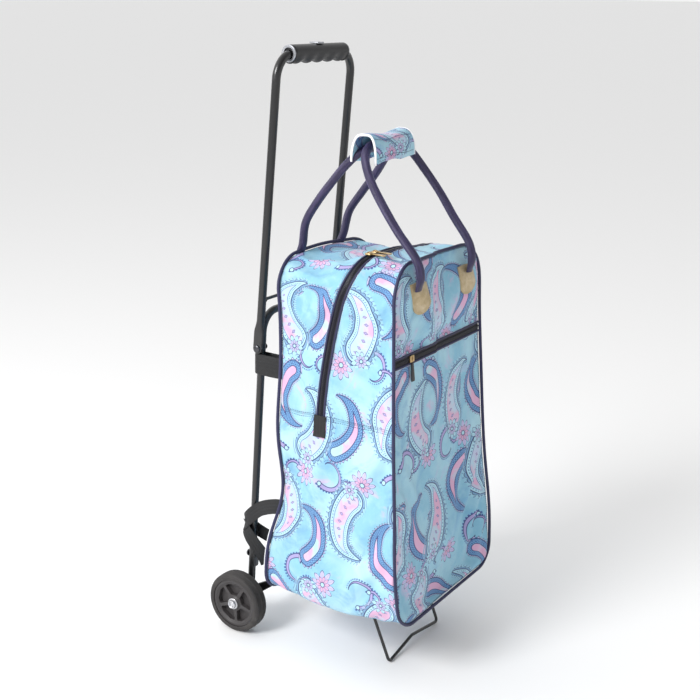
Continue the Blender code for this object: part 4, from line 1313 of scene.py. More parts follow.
def stitches(name, line, material, slot, pitch=0.0036, length=0.0027, radius=0.00038):
    """A row of short threads along (point, normal) places lying on the bag's cloth."""
    points = lifted(line, 0.0003)
    normals = [n for _, n in line]
    travel = travelled(points)
    verts, faces = [], []
    sides = 6
    stations = ((-0.5, 0.35), (-0.36, 0.9), (0.0, 1.0), (0.36, 0.9), (0.5, 0.35))
    index = 0
    for step in range(int(travel[-1] / pitch)):
        middle = (step + 0.5) * pitch
        while index < len(travel) - 2 and travel[index + 1] < middle:
            index += 1
        stretch = max(travel[index + 1] - travel[index], 1e-9)
        share = (middle - travel[index]) / stretch
        centre = points[index].lerp(points[index + 1], share)
        along = (points[index + 1] - points[index]).normalized()
        normal = normals[index].lerp(normals[index + 1], share).normalized()
        across = along.cross(normal).normalized()
        base = len(verts)
        for offset, fat in stations:
            dip = normal * (-0.00035 * (2 * offset) ** 4)
            for k in range(sides):
                turn = math.tau * k / sides
                verts.append(centre + along * offset * length + dip
                             + (across * math.cos(turn) + normal * math.sin(turn)) * radius * fat)
        for ring in range(len(stations) - 1):
            for k in range(sides):
                a, b = base + ring * sides + k, base + ring * sides + (k + 1) % sides
                faces.append((a, b, b + sides, a + sides))
        faces.append(tuple(range(base + sides - 1, base - 1, -1)))
        end = base + (len(stations) - 1) * sides
        faces.append(tuple(range(end, end + sides)))
    finish_piece(mesh_piece(name, verts, faces, material, sharp_angle=80), "bag", slot)


def build_bag(materials):
    skin = Skin()
    whole = skin.to_object("bag_skin")
    skin.settle(whole)
    skin.crease(whole)
    skin.pinch()
    skin.split(whole, materials)
    return skin


def build_bag_seams(skin, materials):
    """Rows of stitches beside the piping, the zips and the side seams."""
    across, up = CELLS_ACROSS, CELLS_UP
    navy, pale = materials["navy_thread"], materials["pale_thread"]
    inset = 0.62                     # from the seam, in cells
    for face, index in (("front", skin.front), ("back", skin.back)):
        places = [(i / 2, inset) for i in range(2, (across - 1) * 2)]
        places += [(across - inset, j / 2) for j in range(2, (up - 1) * 2)]
        places += [(i / 2, up - inset) for i in range((across - 1) * 2, 2, -1)]
        places += [(inset, j / 2) for j in range((up - 1) * 2, 2, -1)]
        ring = [skin.panel_line(index, i, j) for i, j in places]
        stitches("stitching_%s_edge" % face, ring, navy, "piping")
    heights = [skin.rest[skin.front[0, j]][2] for j in range(up + 1)]
    seam_row = [j for j, z in enumerate(heights) if abs(z - SEAM_Z) < 1e-4][0]
    right_seam = across + seam_row
    left_seam = across + up + across + (up - seam_row)
    top_run = range(right_seam, left_seam + 1)
    for side, d_at in (("rear", CELLS_REAR - 0.45), ("front", CELLS_REAR + CELLS_ZIP + 0.55)):
        line = [skin.band_line(k, d_at) for k in top_run]
        stitches("stitching_zip_%s" % side, line, pale, "printed_fabric")
    for side, k_seam, direction in (("right", right_seam, 1), ("left", left_seam, -1)):
        for row, shift in (("upper", 0.55), ("lower", -0.40)):
            k_at = k_seam + direction * shift
            line = [skin.band_line(k_at, d / 2) for d in range(1, 2 * CELLS_DEEP)]
            stitches("stitching_side_%s_%s" % (side, row), line, navy, "piping")
    zip_rows = [j for j, z in enumerate(heights) if POCKET_ZIP_LOW - 1e-4 < z < POCKET_ZIP_HIGH + 1e-4]
    for label, j_at in (("lower", zip_rows[0] - 0.35), ("upper", zip_rows[-1] + 0.35)):
        line = [skin.panel_line(skin.front, i / 2, j_at) for i in range(1, 2 * across)]
        stitches("stitching_pocket_" + label, line, pale, "printed_fabric")
    return right_seam, left_seam, zip_rows


def build_piping(skin, materials):
    """Corded piping round the front and back panels."""
    radius = 0.0025
    for name, column in (("front_piping", CELLS_DEEP), ("rear_piping", 0)):
        neighbour = column - 1 if column else 1
        loop = [skin.spot(skin.band[k, column]) for k in range(len(skin.loop))]
        inner = [skin.spot(skin.band[k, neighbour]) for k in range(len(skin.loop))]
        panel_out = Vector((0, -1, 0)) if column else Vector((0, 1, 0))
        path = []
        for k, point in enumerate(loop):
            ahead, behind = loop[(k + 1) % len(loop)], loop[k - 1]
            along = (ahead - behind).normalized()
            away = (point - inner[k]).normalized()
            side_out = Vector((point.x, 0, point.z - 0.38))
            side_out = (side_out - along * side_out.dot(along)).normalized()
            corner_out = (side_out + panel_out * 0.9 + away * 0.2)
            corner_out = (corner_out - along * corner_out.dot(along)).normalized()
            path.append(point + corner_out * 0.0019)
        wobble = [radius * (1 + 0.05 * noise.noise(point * 160)) for point in path]
        swept_part(name + "_cord", path, lambda k: (wobble[k], wobble[k]), panel_out,
                   materials["piping"], "bag", "piping", name, closed=True)


def ribbon(name, path, normals, half_width, material, body, *nodes, thickness=WEBBING_THICKNESS):
    """A flat webbing tape along a path, given its face normals, with rolled edges."""
    frames = []
    last = len(path) - 1
    for index, normal in enumerate(normals):
        tangent = (path[min(index + 1, last)] - path[max(index - 1, 0)]).normalized()
        flat_normal = (normal - tangent * normal.dot(tangent)).normalized()
        frames.append((tangent.cross(flat_normal), flat_normal))
    swept_part(name, path, (half_width, thickness / 2), None, material, body, "webbing", *nodes,
               sides=20, power=TAPE_EDGE, frames=frames)


def zip_teeth(name, line, material):
    """Two interlocking rows of coil teeth along (point, normal) places."""
    centres, normals = zip(*line)
    points = even_path(centres, TOOTH_PITCH / 2)
    travel = travelled(centres)
    verts, faces = [], []
    index = 0
    walked = 0.0
    for step, point in enumerate(points):
        if step:
            walked += (point - points[step - 1]).length
        while index < len(travel) - 2 and travel[index + 1] < walked:
            index += 1
        normal = normals[index]
        along = (points[min(step + 1, len(points) - 1)] - points[max(step - 1, 0)]).normalized()
        across = along.cross(normal).normalized()
        side = 1 if step % 2 else -1
        centre = point + across * side * 0.0010 + normal * 0.0007
        base = len(verts)
        for a, c, n in ((-1, -1, -1), (1, -1, -1), (1, 1, -1), (-1, 1, -1),
                        (-1, -0.7, 1), (1, -0.7, 1), (1, 0.7, 1), (-1, 0.7, 1)):
            verts.append(centre + along * a * 0.00036 + across * c * 0.0014 + normal * n * 0.0006)
        for quad in ((3, 2, 1, 0), (4, 5, 6, 7), (0, 1, 5, 4), (1, 2, 6, 5), (2, 3, 7, 6), (3, 0, 4, 7)):
            faces.append(tuple(base + q for q in quad))
    finish_piece(mesh_piece(name, verts, faces, material, sharp_angle=30), "bag", "zip_tape")


def build_zips(skin, materials, right_seam, left_seam, zip_rows):
    """Coil teeth between corded lips, with webbing patches over the main zip's ends."""
    coil, piping = materials["zip_coil"], materials["piping"]
    middle = CELLS_REAR + CELLS_ZIP // 2
    run = range(right_seam, left_seam + 1)
    zip_teeth("main_zip_coil", [skin.band_line(k, middle) for k in run], coil)
    for side, d_at in (("rear", CELLS_REAR), ("front", CELLS_REAR + CELLS_ZIP)):
        path = lifted([skin.band_line(k, d_at) for k in run], 0.0006)
        swept_part("main_zip_lip_" + side, path, (0.0016, 0.0012), (0, 1, 0), piping, "bag", "piping",
                   sides=12)

    def across_pocket(inset, j_at):
        reach = CELLS_ACROSS - 2 * inset
        return [skin.panel_line(skin.front, inset + reach * i / 84, j_at) for i in range(85)]

    zip_teeth("pocket_zip_coil", across_pocket(0.6, (zip_rows[0] + zip_rows[-1]) / 2), coil)
    for label, j_at in (("lower", zip_rows[0]), ("upper", zip_rows[-1])):
        swept_part("pocket_zip_lip_" + label, lifted(across_pocket(0.3, j_at), 0.0007),
                   (0.0017, 0.0011), (0, 0, 1), piping, "bag", "piping", sides=12)
    for side, k_seam, direction in (("left", left_seam, 1), ("right", right_seam, -1)):
        line = [skin.band_line(k_seam + direction * step * 0.5, middle) for step in range(-1, 10)]
        ribbon("zip_end_patch_" + side, lifted(line, 0.0022), [n for _, n in line], 0.0105,
               materials["webbing"], "bag", "zip_end_tab_" + side, thickness=0.0016)


def slab_on_skin(name, outline, surface, thickness, material, bevel):
    """A flat piece cut to an outline and laid on a surface given by (u, v) -> (point, normal)."""
    builder = bmesh.new()
    count = len(outline)
    centre_u = sum(u for u, _ in outline) / count
    centre_v = sum(v for _, v in outline) / count
    layers = []
    for lift in (TAB_LIFT, TAB_LIFT + thickness):
        rings = []
        for scale in (1.0, 0.82, 0.62, 0.42, 0.22):
            ring = []
            for u, v in outline:
                spot = surface(centre_u + (u - centre_u) * scale, centre_v + (v - centre_v) * scale)
                ring.append(builder.verts.new(spot[0] + spot[1] * lift))
            rings.append(ring)
        for outer, inner in zip(rings, rings[1:]):
            for k in range(count):
                n = (k + 1) % count
                builder.faces.new((outer[k], outer[n], inner[n], inner[k]))
        point, normal = surface(centre_u, centre_v)
        hub = builder.verts.new(point + normal * lift)
        for k in range(count):
            builder.faces.new((rings[-1][k], rings[-1][(k + 1) % count], hub))
        layers.append(rings[0])
    low, high = layers
    for k in range(count):
        n = (k + 1) % count
        builder.faces.new((low[k], low[n], high[n], high[k]))
    bmesh.ops.recalc_face_normals(builder, faces=builder.faces)
    rim = [edge for edge in builder.edges if edge.verts[0] in high and edge.verts[1] in high]
    return built_piece(name, builder, material, rim, bevel, 45.0)


def panel_surface(share):
    """(x, z) -> the stuffed front or back face and its outward normal."""
    forward_at = front_forward if share else back_forward
    turn = 1 if share else -1

    def surface(x, z):
        step = 0.002
        point = stuffed_place(x, forward_at(z), z)
        side = stuffed_place(x + step, forward_at(z), z) - point
        up = stuffed_place(x, forward_at(z + step), z + step) - point
        normal = side.cross(up).normalized()
        return point, -normal if normal.y * turn > 0 else normal

    return surface


def build_tabs(materials):
    """Leather tabs with round lower ends and a row of stitches inside the edge."""
    low_z = TAB_TOP - TAB_HEIGHT + TAB_HALF
    for name, (centre_x, share) in TABS.items():
        surface = panel_surface(share)
        outline = [(centre_x + TAB_HALF * u, TAB_TOP + 0.001 * math.cos(u * math.pi))
                   for u in (1, 0.6, 0.2, -0.2, -0.6, -1)]
        for step in range(17):
            turn = math.pi + math.pi * step / 16
            outline.append((centre_x + TAB_HALF * math.cos(turn), low_z + TAB_HALF * math.sin(turn)))
        tab = slab_on_skin(name + "_leather", outline, surface, TAB_THICKNESS, materials["leather"],
                           0.0009)
        finish_piece(tab, "bag", "leather", name)
        half = TAB_HALF - 0.0026
        line = [(centre_x - half, TAB_TOP - 0.003)]
        for step in range(41):
            turn = math.pi * step / 40
            line.append((centre_x - half * math.cos(turn), low_z - half * math.sin(turn)))
        line.append((centre_x + half, TAB_TOP - 0.003))
        placed = []
        for x, z in line:
            point, normal = surface(x, z)
            placed.append((point + normal * (TAB_LIFT + TAB_THICKNESS), normal))
        stitches(name + "_stitching", placed, materials["tan_thread"], "leather",
                 pitch=0.0030, length=0.0021, radius=0.00035)


def strap_path(half_points):
    points = [place(-x, forward, z) for x, forward, z in half_points]
    points += [place(x, forward, z) for x, forward, z in reversed(half_points[:-1])]
    return even_path(smooth_path(points, CURVE_STEPS), PATH_STEP)


def build_straps(materials):
    """Two padded tubes of satin, squeezed flat at their ends on the tabs."""
    surface_front, surface_rear = panel_surface(1), panel_surface(0)
    start = TAB_TOP - 0.012
    front_foot = AXLE_Y - surface_front(0.078, start)[0].y + 0.0045
    rear_foot = AXLE_Y - surface_rear(0.055, start)[0].y - 0.0045
    front = [(0.078, front_foot, start), (0.0785, front_foot + 0.003, TAB_TOP + 0.010),
             (0.0800, front_foot - 0.005, 0.650), (0.0825, 0.255, 0.684), (0.0830, 0.229, 0.719),
             (0.0775, 0.204, 0.752), (0.064, 0.186, 0.780), (0.040, 0.1795, 0.7950),
             (0.0, 0.179, 0.7955)]
    rear = [(0.055, rear_foot, start), (0.0555, rear_foot - 0.002, TAB_TOP + 0.008),
            (0.057, rear_foot + 0.004, 0.642), (0.060, 0.082, 0.676), (0.0625, 0.104, 0.709),
            (0.0615, 0.129, 0.741), (0.053, 0.150, 0.769), (0.034, 0.163, 0.786), (0.0, 0.166, 0.788)]
    for name, half_points in (("front_carry_strap", front), ("rear_carry_strap", rear)):
        path = strap_path(half_points)
        travel = travelled(path)

        def size_at(k):
            share = ease(min(travel[k], travel[-1] - travel[k]), 0, STRAP_SQUEEZE)
            ripple = 1 + 0.035 * noise.noise(path[k] * 55) + 0.02 * noise.noise(path[k] * 140)
            wide = STRAP_END_WIDE + (STRAP_RADIUS - STRAP_END_WIDE) * share
            deep = STRAP_END_DEEP + (STRAP_RADIUS * 0.94 - STRAP_END_DEEP) * share
            return wide * ripple, deep * ripple

        piece = sweep(name + "_satin", path, size_at, (1, 0, 0), materials["strap_fabric"], sides=32)
        finish_piece(piece, "bag", "strap_fabric", name)
        frames = carried_frames(path, (1, 0, 0))
        seam = []
        for k in range(6, len(path) - 6):
            outward = -frames[k][1] if name.startswith("front") else frames[k][1]
            seam.append((path[k] + outward * (size_at(k)[1] + 0.0001), outward))
        stitches(name + "_seam", seam, materials["navy_thread"], "strap_fabric",
                 pitch=0.0040, length=0.0028, radius=0.00032)


WRAP_HALF = 0.055
WRAP_REAR, WRAP_FRONT, WRAP_LOW, WRAP_HIGH = 0.1555, 0.1985, 0.771, 0.812


def wrap_section(share, along):
    """(forward, z) of the wrap's middle layer; share runs from the rear hem over the top to the front hem."""
    middle = (WRAP_REAR + WRAP_FRONT) / 2
    half = (WRAP_FRONT - WRAP_REAR) / 2
    turn = math.pi * (1 - share)
    spread = math.copysign(abs(math.cos(turn)) ** 0.55, math.cos(turn))
    rise = max(0.0, math.sin(turn)) ** 0.75
    lift = 0.5 + 0.5 * along
    forward = middle + half * spread * (0.94 + 0.04 * math.sin(along * 3 + share * 5))
    z = WRAP_LOW + (WRAP_HIGH - WRAP_LOW - 0.001) * rise
    z += 0.0014 * math.sin(share * 9 + along * 4) - 0.0030 * rise * (1 - along * along) * 0.7
    if share > 0.62:
        z += 0.004 * lift * (share - 0.62) / 0.38
    return forward, z


def build_wrap(materials):
    """The quilted saddle round both straps: a thin pad with bound ends and a fold line."""
    rows, columns = 44, 40
    points, flat, faces = [], [], []
    for i in range(columns + 1):
        along = -1 + 2 * i / columns
        for j in range(rows + 1):
            share = j / rows
            forward, z = wrap_section(share, along)
            droop = 0.0012 * math.cos(along * math.pi * 3) * abs(share - 0.5)
            points.append(place(along * WRAP_HALF, forward, z + droop))
            flat.append((along * WRAP_HALF + 2.11, share * 0.150 + 0.37))
    for i in range(columns):
        for j in range(rows):
            a = i * (rows + 1) + j
            faces.append((a, a + 1, a + rows + 2, a + rows + 1))
    wrap = mesh_piece("strap_wrap_pad", points, faces, materials["printed_fabric"], flat, 80)
    face_up(wrap)
    thick = wrap.modifiers.new("thickness", 'SOLIDIFY')
    thick.thickness = 0.0026
    thick.offset = 0.0
    rounded = wrap.modifiers.new("smooth", 'SUBSURF')
    rounded.levels = 1
    rounded.render_levels = 1
    apply_modifiers(wrap)
    finish_piece(wrap, "bag", "printed_fabric", "strap_wrap")
    for label, along in (("left", -1.0), ("right", 1.0)):
        path = []
        for j in range(rows + 1):
            forward, z = wrap_section(j / rows, along)
            path.append(place(along * (WRAP_HALF + 0.0002), forward, z))
        swept_part("wrap_binding_" + label, path, (0.0013, 0.0019), (1, 0, 0),
                   materials["white_binding"], "bag", "printed_fabric")
    for label, share in (("fold", 0.70), ("front_hem", 0.955), ("rear_hem", 0.045), ("rear_fold", 0.30)):
        line = []
        for i in range(2 * columns + 1):
            along = -1 + i / columns
            forward, z = wrap_section(share, along)
            before = wrap_section(share - 0.01, along)
            after = wrap_section(share + 0.01, along)
            slope = Vector((0, -(after[0] - before[0]), after[1] - before[1]))
            normal = Vector((1, 0, 0)).cross(slope).normalized()
            if normal.z < 0 and abs(share - 0.5) < 0.3:
                normal = -normal
            if abs(share - 0.5) >= 0.3:
                toward = -1 if share > 0.5 else 1
                normal = normal if normal.y * toward > 0 else -normal
            line.append((place(along * (WRAP_HALF - 0.002), forward, z) + normal * 0.0013, normal))
        stitches("wrap_stitching_" + label, line, materials["navy_thread"], "printed_fabric")


def face_up(piece):
    """Turn an open sheet's faces so that the middle one looks upwards."""
    mesh = piece.data
    middle = mesh.polygons[len(mesh.polygons) // 2]
    if middle.normal.z < 0:
        mesh.flip_normals()


# ---------------------------------------------------------------- frame
def build_tubes(materials):
    """The lower hoop, with plastic plugs in its feet."""
    black = materials["frame_black"]
    corners = [place(x, lower_forward(z), z) for x, z in (
        (-LEG_X, LOWER_LOW.z), (-LEG_X, LOWER_HIGH.z - LOWER_TUBE_RADIUS),
        (LEG_X, LOWER_HIGH.z - LOWER_TUBE_RADIUS), (LEG_X, LOWER_LOW.z))]
    path = even_path(fillet(corners, [LOWER_BEND, LOWER_BEND], 24), PATH_STEP)
    tube = sweep("lower_frame_tube", path, (LOWER_TUBE_RADIUS, LOWER_TUBE_RADIUS), (1, 0, 0), black,
                 sides=36, wall=0.0012)
    finish_piece(tube, "frame", "frame_black", "lower_frame")
    for side, sign in SIDES.items():
        foot = place(sign * LEG_X, lower_forward(LOWER_LOW.z), LOWER_LOW.z)
        plug = turned("leg_plug_" + side, [(-0.0022, 0.0), (-0.0020, 0.0040), (-0.0008, 0.0056),
                                           (0.0, 0.0046), (0.006, 0.0046), (0.006, 0.0)],
                      Vector((0, 0, 0)), materials["black_plastic"], 32)
        turn_up = Matrix(((0, 0, 1), (0, 1, 0), (1, 0, 0)))
        for vertex in plug.data.vertices:
            vertex.co = foot + turn_up @ vertex.co
        face_outward(plug)
        finish_piece(plug, "frame", "black_plastic")


def build_handle(materials):
    """The handle hoop, its legs pressed flat at the pivots."""
    black = materials["frame_black"]
    top_z = HANDLE_TOP - HANDLE_TUBE_RADIUS
    flat_x = HANDLE_LEG_X + HANDLE_TUBE_RADIUS - FLAT_HALF_THICKNESS
    flat_top, round_from = PIVOT_Z + 0.024, PIVOT_Z + 0.047
    half = []
    tip = PIVOT_Z - 0.008
    for step in range(9):
        turn = math.pi / 2 * step / 8
        share = math.sin(turn)
        half.append((flat_x, tip + 0.008 * (1 - math.cos(turn)), FLAT_HALF_THICKNESS,
                     max(FLAT_HALF_WIDTH * share, 0.0012)))
    half.append((flat_x, flat_top, FLAT_HALF_THICKNESS, FLAT_HALF_WIDTH))
    for step in range(1, 13):
        share = step / 12
        swell = float(ease(share, 0, 1))
        half.append((flat_x + (HANDLE_LEG_X - flat_x) * swell, flat_top + (round_from - flat_top) * share,
                     FLAT_HALF_THICKNESS + (HANDLE_TUBE_RADIUS - FLAT_HALF_THICKNESS) * swell,
                     FLAT_HALF_WIDTH + (HANDLE_TUBE_RADIUS - FLAT_HALF_WIDTH) * swell))
    corners = [place(x, handle_forward(z), z) for x, z in (
        (-HANDLE_LEG_X, round_from), (-HANDLE_LEG_X, top_z), (HANDLE_LEG_X, top_z),
        (HANDLE_LEG_X, round_from))]
    hoop = even_path(fillet(corners, [HANDLE_BEND, HANDLE_BEND], 24), PATH_STEP)[1:-1]
    path = [place(-x, handle_forward(z), z) for x, z, _, _ in half] + hoop
    path += [place(x, handle_forward(z), z) for x, z, _, _ in reversed(half)]
    sizes = [(across, along) for _, _, across, along in half]
    sizes += [(HANDLE_TUBE_RADIUS, HANDLE_TUBE_RADIUS)] * len(hoop)
    sizes += [(across, along) for _, _, across, along in reversed(half)]
    tube = sweep("upper_handle_tube", path, lambda k: sizes[k], (1, 0, 0), black, sides=40, wall=0.0009)
    finish_piece(tube, "handle", "frame_black", "upper_handle")
    low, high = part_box("handle_cross_rod")
    z = (low.z + high.z) / 2
    forward = AXLE_Y - (low.y + high.y) / 2
    rod = sweep("handle_cross_rod_bar", [place(x, forward, z) for x in (low.x, 0, high.x)],
                (0.0025, 0.0025), (0, 0, 1), black)
    finish_piece(rod, "handle", "frame_black", "handle_cross_rod")
    for side, sign in SIDES.items():
        path = [place(sign * (high.x - 0.0035 + 0.0007 * k), forward, z) for k in range(6)]
        swept_part("cross_rod_weld_" + side, path, lambda k: (0.0026 + 0.00045 * k,) * 2, (0, 0, 1),
                   black, "handle", "frame_black", sides=24)


def build_grip(materials):
    """The handle's grip: a moulded sleeve with finger waves below and a parting line."""
    middle = (GRIP_LOW.x + GRIP_HIGH.x) / 2
    half = (GRIP_HIGH.x - GRIP_LOW.x) / 2
    top_z = HANDLE_TOP - HANDLE_TUBE_RADIUS
    forward = handle_forward(top_z)
    radius = 0.0135
    stations, around = 120, 56
    fingers = 5
    points, faces = [], []
    for s in range(stations + 1):
        along = -1 + 2 * s / stations
        end = min(1.0, (1 - abs(along)) / 0.04)
        rounded = math.sqrt(max(0.0, 1 - (1 - end) ** 2))
        for k in range(around):
            turn = math.tau * k / around
            below = max(0.0, -math.sin(turn))
            wave = 0.5 - 0.5 * math.cos(math.pi * (along + 1) * fingers)
            reach = radius + 0.0016 * below - 0.0036 * below ** 0.8 * (1 - wave) * (abs(along) < 0.97)
            flat_top = 0.0010 * max(0.0, math.sin(turn)) ** 6
            parting = 0.0005 * math.exp(-(math.sin(turn) / 0.035) ** 2)
            reach = (reach - flat_top - parting) * (0.90 + 0.10 * rounded)
            points.append(place(middle + along * half, forward + reach * math.cos(turn),
                                top_z + reach * math.sin(turn)))
    for s in range(stations):
        for k in range(around):
            n = (k + 1) % around
            faces.append((s * around + k, s * around + n, (s + 1) * around + n, (s + 1) * around + k))
    faces.append(tuple(range(around)))
    faces.append(tuple(range((stations + 1) * around - 1, stations * around - 1, -1)))
    grip = mesh_piece("handle_grip", points, faces, materials["grip_plastic"], sharp_angle=35)
    face_outward(grip)
    finish_piece(grip, "handle", "grip_plastic", "grip_upper_shell", "grip_lower_shell")
    for side, sign in SIDES.items():
        inner = half + 0.0003
        ring = [(inner, 0.0085), (inner + 0.0022, 0.0085), (inner + 0.0024, 0.0090),
                (inner + 0.0024, 0.0112), (inner + 0.0018, 0.0122), (inner + 0.0006, 0.0126),
                (inner, 0.0122)]
        turned_part("grip_ring_" + side, sign, ring, place(middle, forward, top_z),
                    materials["silver_plastic"], 48, "handle", "silver_plastic", "grip_end_ring_" + side)
    plate = soft_box("grip_badge", middle_of("grip_plaque") + Vector((0, 0, -0.0008)),
                     ((1, 0, 0), (0, 1, 0), (0, 0, 1)), (0.0085, 0.0075, 0.0013),
                     materials["silver_plastic"], 0.0006)
    finish_piece(plate, "handle", "silver_plastic", "grip_plaque")


def build_pivots(materials):
    steel, plastic = materials["dark_steel"], materials["black_plastic"]
    centre = place(0, lower_forward(PIVOT_Z), PIVOT_Z)
    leg_inner, leg_outer = LEG_X - LOWER_TUBE_RADIUS, LEG_X + LOWER_TUBE_RADIUS
    head_inner = HANDLE_LEG_X + HANDLE_TUBE_RADIUS + 0.0003
    flat_inner = HANDLE_LEG_X + HANDLE_TUBE_RADIUS - 2 * FLAT_HALF_THICKNESS
    for side, sign in SIDES.items():
        dome = [(head_inner + 0.0026 * math.sin(a), 0.0062 * math.cos(a))
                for a in np.linspace(0, math.pi / 2, 9)[:-1]] + [(head_inner + 0.0026, 0.0)]
        tail = [(leg_inner - 0.0022, 0.0), (leg_inner - 0.0022, 0.0034), (leg_inner - 0.0017, 0.0046),
                (leg_inner - 0.0004, 0.0050), (leg_inner - 0.0004, 0.0025), (head_inner, 0.0025)]
        turned_part("pivot_rivet_%s_dome" % side, sign, tail + dome, centre, steel, 48, "frame", "steel",
                    "pivot_rivet_" + side)
        ring = [(leg_outer + 0.0003, 0.0028), (leg_outer + 0.0003, 0.0066), (leg_outer + 0.0008, 0.0071),
                (flat_inner - 0.0008, 0.0071), (flat_inner - 0.0003, 0.0066), (flat_inner - 0.0003, 0.0028)]
        turned_part("pivot_spacer_%s_ring" % side, sign, ring, centre, plastic, 48, "frame",
                    "black_plastic", "pivot_spacer_" + side)


def build_axle(materials):
    steel, plastic = materials["steel"], materials["black_plastic"]
    centre = place(0, 0, AXLE_Z)
    reach = AXLE_HIGH.x
    end = [(-reach, 0.0), (-reach, 0.0026), (-reach + 0.0005, 0.0030)]
    turned_part("axle_rod", 1, mirrored(end), centre, steel, 40, "frame", "steel", "axle")
    leg_outer = LEG_X + LOWER_TUBE_RADIUS
    wheel_inner, wheel_outer = WHEEL_X - WHEEL_WIDTH / 2, WHEEL_X + WHEEL_WIDTH / 2
    for side, sign in SIDES.items():
        sleeve = [(leg_outer + 0.0003, 0.0034), (leg_outer + 0.0003, 0.0056), (leg_outer + 0.0009, 0.0062),
                  (wheel_inner - 0.0012, 0.0062), (wheel_inner - 0.0008, 0.0074),
                  (wheel_inner - 0.0003, 0.0074), (wheel_inner - 0.0003, 0.0034)]
        turned_part("axle_sleeve_" + side, sign, sleeve, centre, plastic, 48, "frame", "black_plastic",
                    "axle_spacer_" + side)
        start = wheel_outer + 0.0003
        cap = [(start, 0.0032), (start, 0.0088), (start + 0.0004, 0.0093), (start + 0.0011, 0.0093),
               (start + 0.0016, 0.0088), (start + 0.0018, 0.0074), (start + 0.0042, 0.0070),
               (start + 0.0052, 0.0063), (start + 0.0053, 0.0054), (start + 0.0049, 0.0048),
               (start + 0.0030, 0.0044), (start + 0.0042, 0.0022), (start + 0.0045, 0.0),
               (start + 0.0034, 0.0), (start + 0.0034, 0.0032)]
        turned_part("axle_push_cap_" + side, sign, cap, centre, steel, 56, "frame", "steel",
                    "axle_cap_" + side)


def prism(builder, outline, place_at, start, end):
    """A solid between two offsets of an outline; place_at(offset, u, v) gives its points."""
    near = [builder.verts.new(place_at(start, u, v)) for u, v in outline]
    far = [builder.verts.new(place_at(end, u, v)) for u, v in outline]
    builder.faces.new(near)
    builder.faces.new(far)
    for k in range(len(outline)):
        n = (k + 1) % len(outline)
        builder.faces.new((near[k], near[n], far[n], far[k]))
    return near


def wheel_windows(centre):
    """Wedges between the ribs, cut from both faces as far as the wheel's web."""
    cutter = bmesh.new()
    for spoke in range(WHEEL_RIBS):
        middle = math.tau * (spoke + 0.18) / WHEEL_RIBS
        wedge = [(radius, middle - spread) for radius, spread in (
            (0.0138, 0.26), (0.0145, 0.42), (0.0295, 0.545), (0.0318, 0.50), (0.0326, 0.25))]
        wedge += [(r, 2 * middle - a) for r, a in reversed(wedge)]
        for start, end in ((-0.02, -WEB_HALF), (WEB_HALF, 0.02)):
            prism(cutter, wedge, lambda offset, r, a: centre + Vector((offset, r * math.cos(a),
                                                                       r * math.sin(a))), start, end)
    bmesh.ops.recalc_face_normals(cutter, faces=cutter.faces)
    mesh = bpy.data.meshes.new("windows")
    cutter.to_mesh(mesh)
    cutter.free()
    return add_object("windows", mesh)


def build_hub(side, centre, material):
    half, web = WHEEL_WIDTH / 2, 0.0098
    outline = [(half, 0.0034), (half, 0.0080), (half - 0.0006, 0.0088), (web + 0.001, 0.0104),
               (web, 0.0116), (web, 0.0322), (web + 0.001, 0.0336), (half - 0.0016, 0.0352),
               (half - 0.0010, 0.0358), (half - 0.0010, 0.0397)]
    hub = turned("wheel_web_" + side, mirrored(outline), centre, material, 120)
    windows = wheel_windows(centre)
    hole = hub.modifiers.new("windows", 'BOOLEAN')
    hole.operation = 'DIFFERENCE'
    hole.object = windows
    edge = hub.modifiers.new("edge", 'BEVEL')
    edge.width = 0.0005
    edge.segments = 2
    edge.limit_method = 'ANGLE'
    edge.angle_limit = math.radians(40)
    apply_modifiers(hub)
    bpy.data.objects.remove(windows)
    shaded(hub.data, 35.0)
    finish_piece(hub, "wheel_" + side, "wheel_plastic", "wheel_hub_" + side)


def build_tyre(side, centre, material):
    half = WHEEL_WIDTH / 2
    tyre = [(half, 0.0402), (half + 0.0004, 0.0412), (half + 0.0004, 0.0446), (half - 0.0002, 0.0456),
            (half - 0.0004, 0.0470), (half - 0.0016, 0.0484)]
    start = half - 0.0022
    for rib in range(4):
        at = start - 0.0024 * rib
        tyre += [(at, 0.0486), (at - 0.0006, 0.0496 if rib else 0.0492),
                 (at - 0.0014, 0.0497 if rib else 0.0494), (at - 0.0019, 0.0486)]
    tyre += [(start - 0.0101, WHEEL_RADIUS - 0.0002), (start - 0.0105, WHEEL_RADIUS)]
    turned_part("tyre_%s_ribbed" % side, 1, mirrored(tyre), centre, material, 128, "wheel_" + side,
                "tyre", "tyre_" + side, sharp_angle=28)


def build_wheels(materials):
    """Moulded wheels: ribs over a closed web, ridges on the tyre's shoulders."""
    for side, sign in SIDES.items():
        centre = place(sign * WHEEL_X, 0, AXLE_Z)
        build_hub(side, centre, materials["wheel_plastic"])
        build_tyre(side, centre, materials["tyre"])


def outlined_slab(name, outline, place_at, start, end, material, bevel):
    """A plate with rounded rims; place_at(offset, u, v) gives its points, from one offset to the other."""
    builder = bmesh.new()
    near = prism(builder, outline, place_at, start, end)
    bmesh.ops.recalc_face_normals(builder, faces=builder.faces)
    rims = [edge for edge in builder.edges if (edge.verts[0] in near) == (edge.verts[1] in near)]
    return built_piece(name, builder, material, rims, bevel)


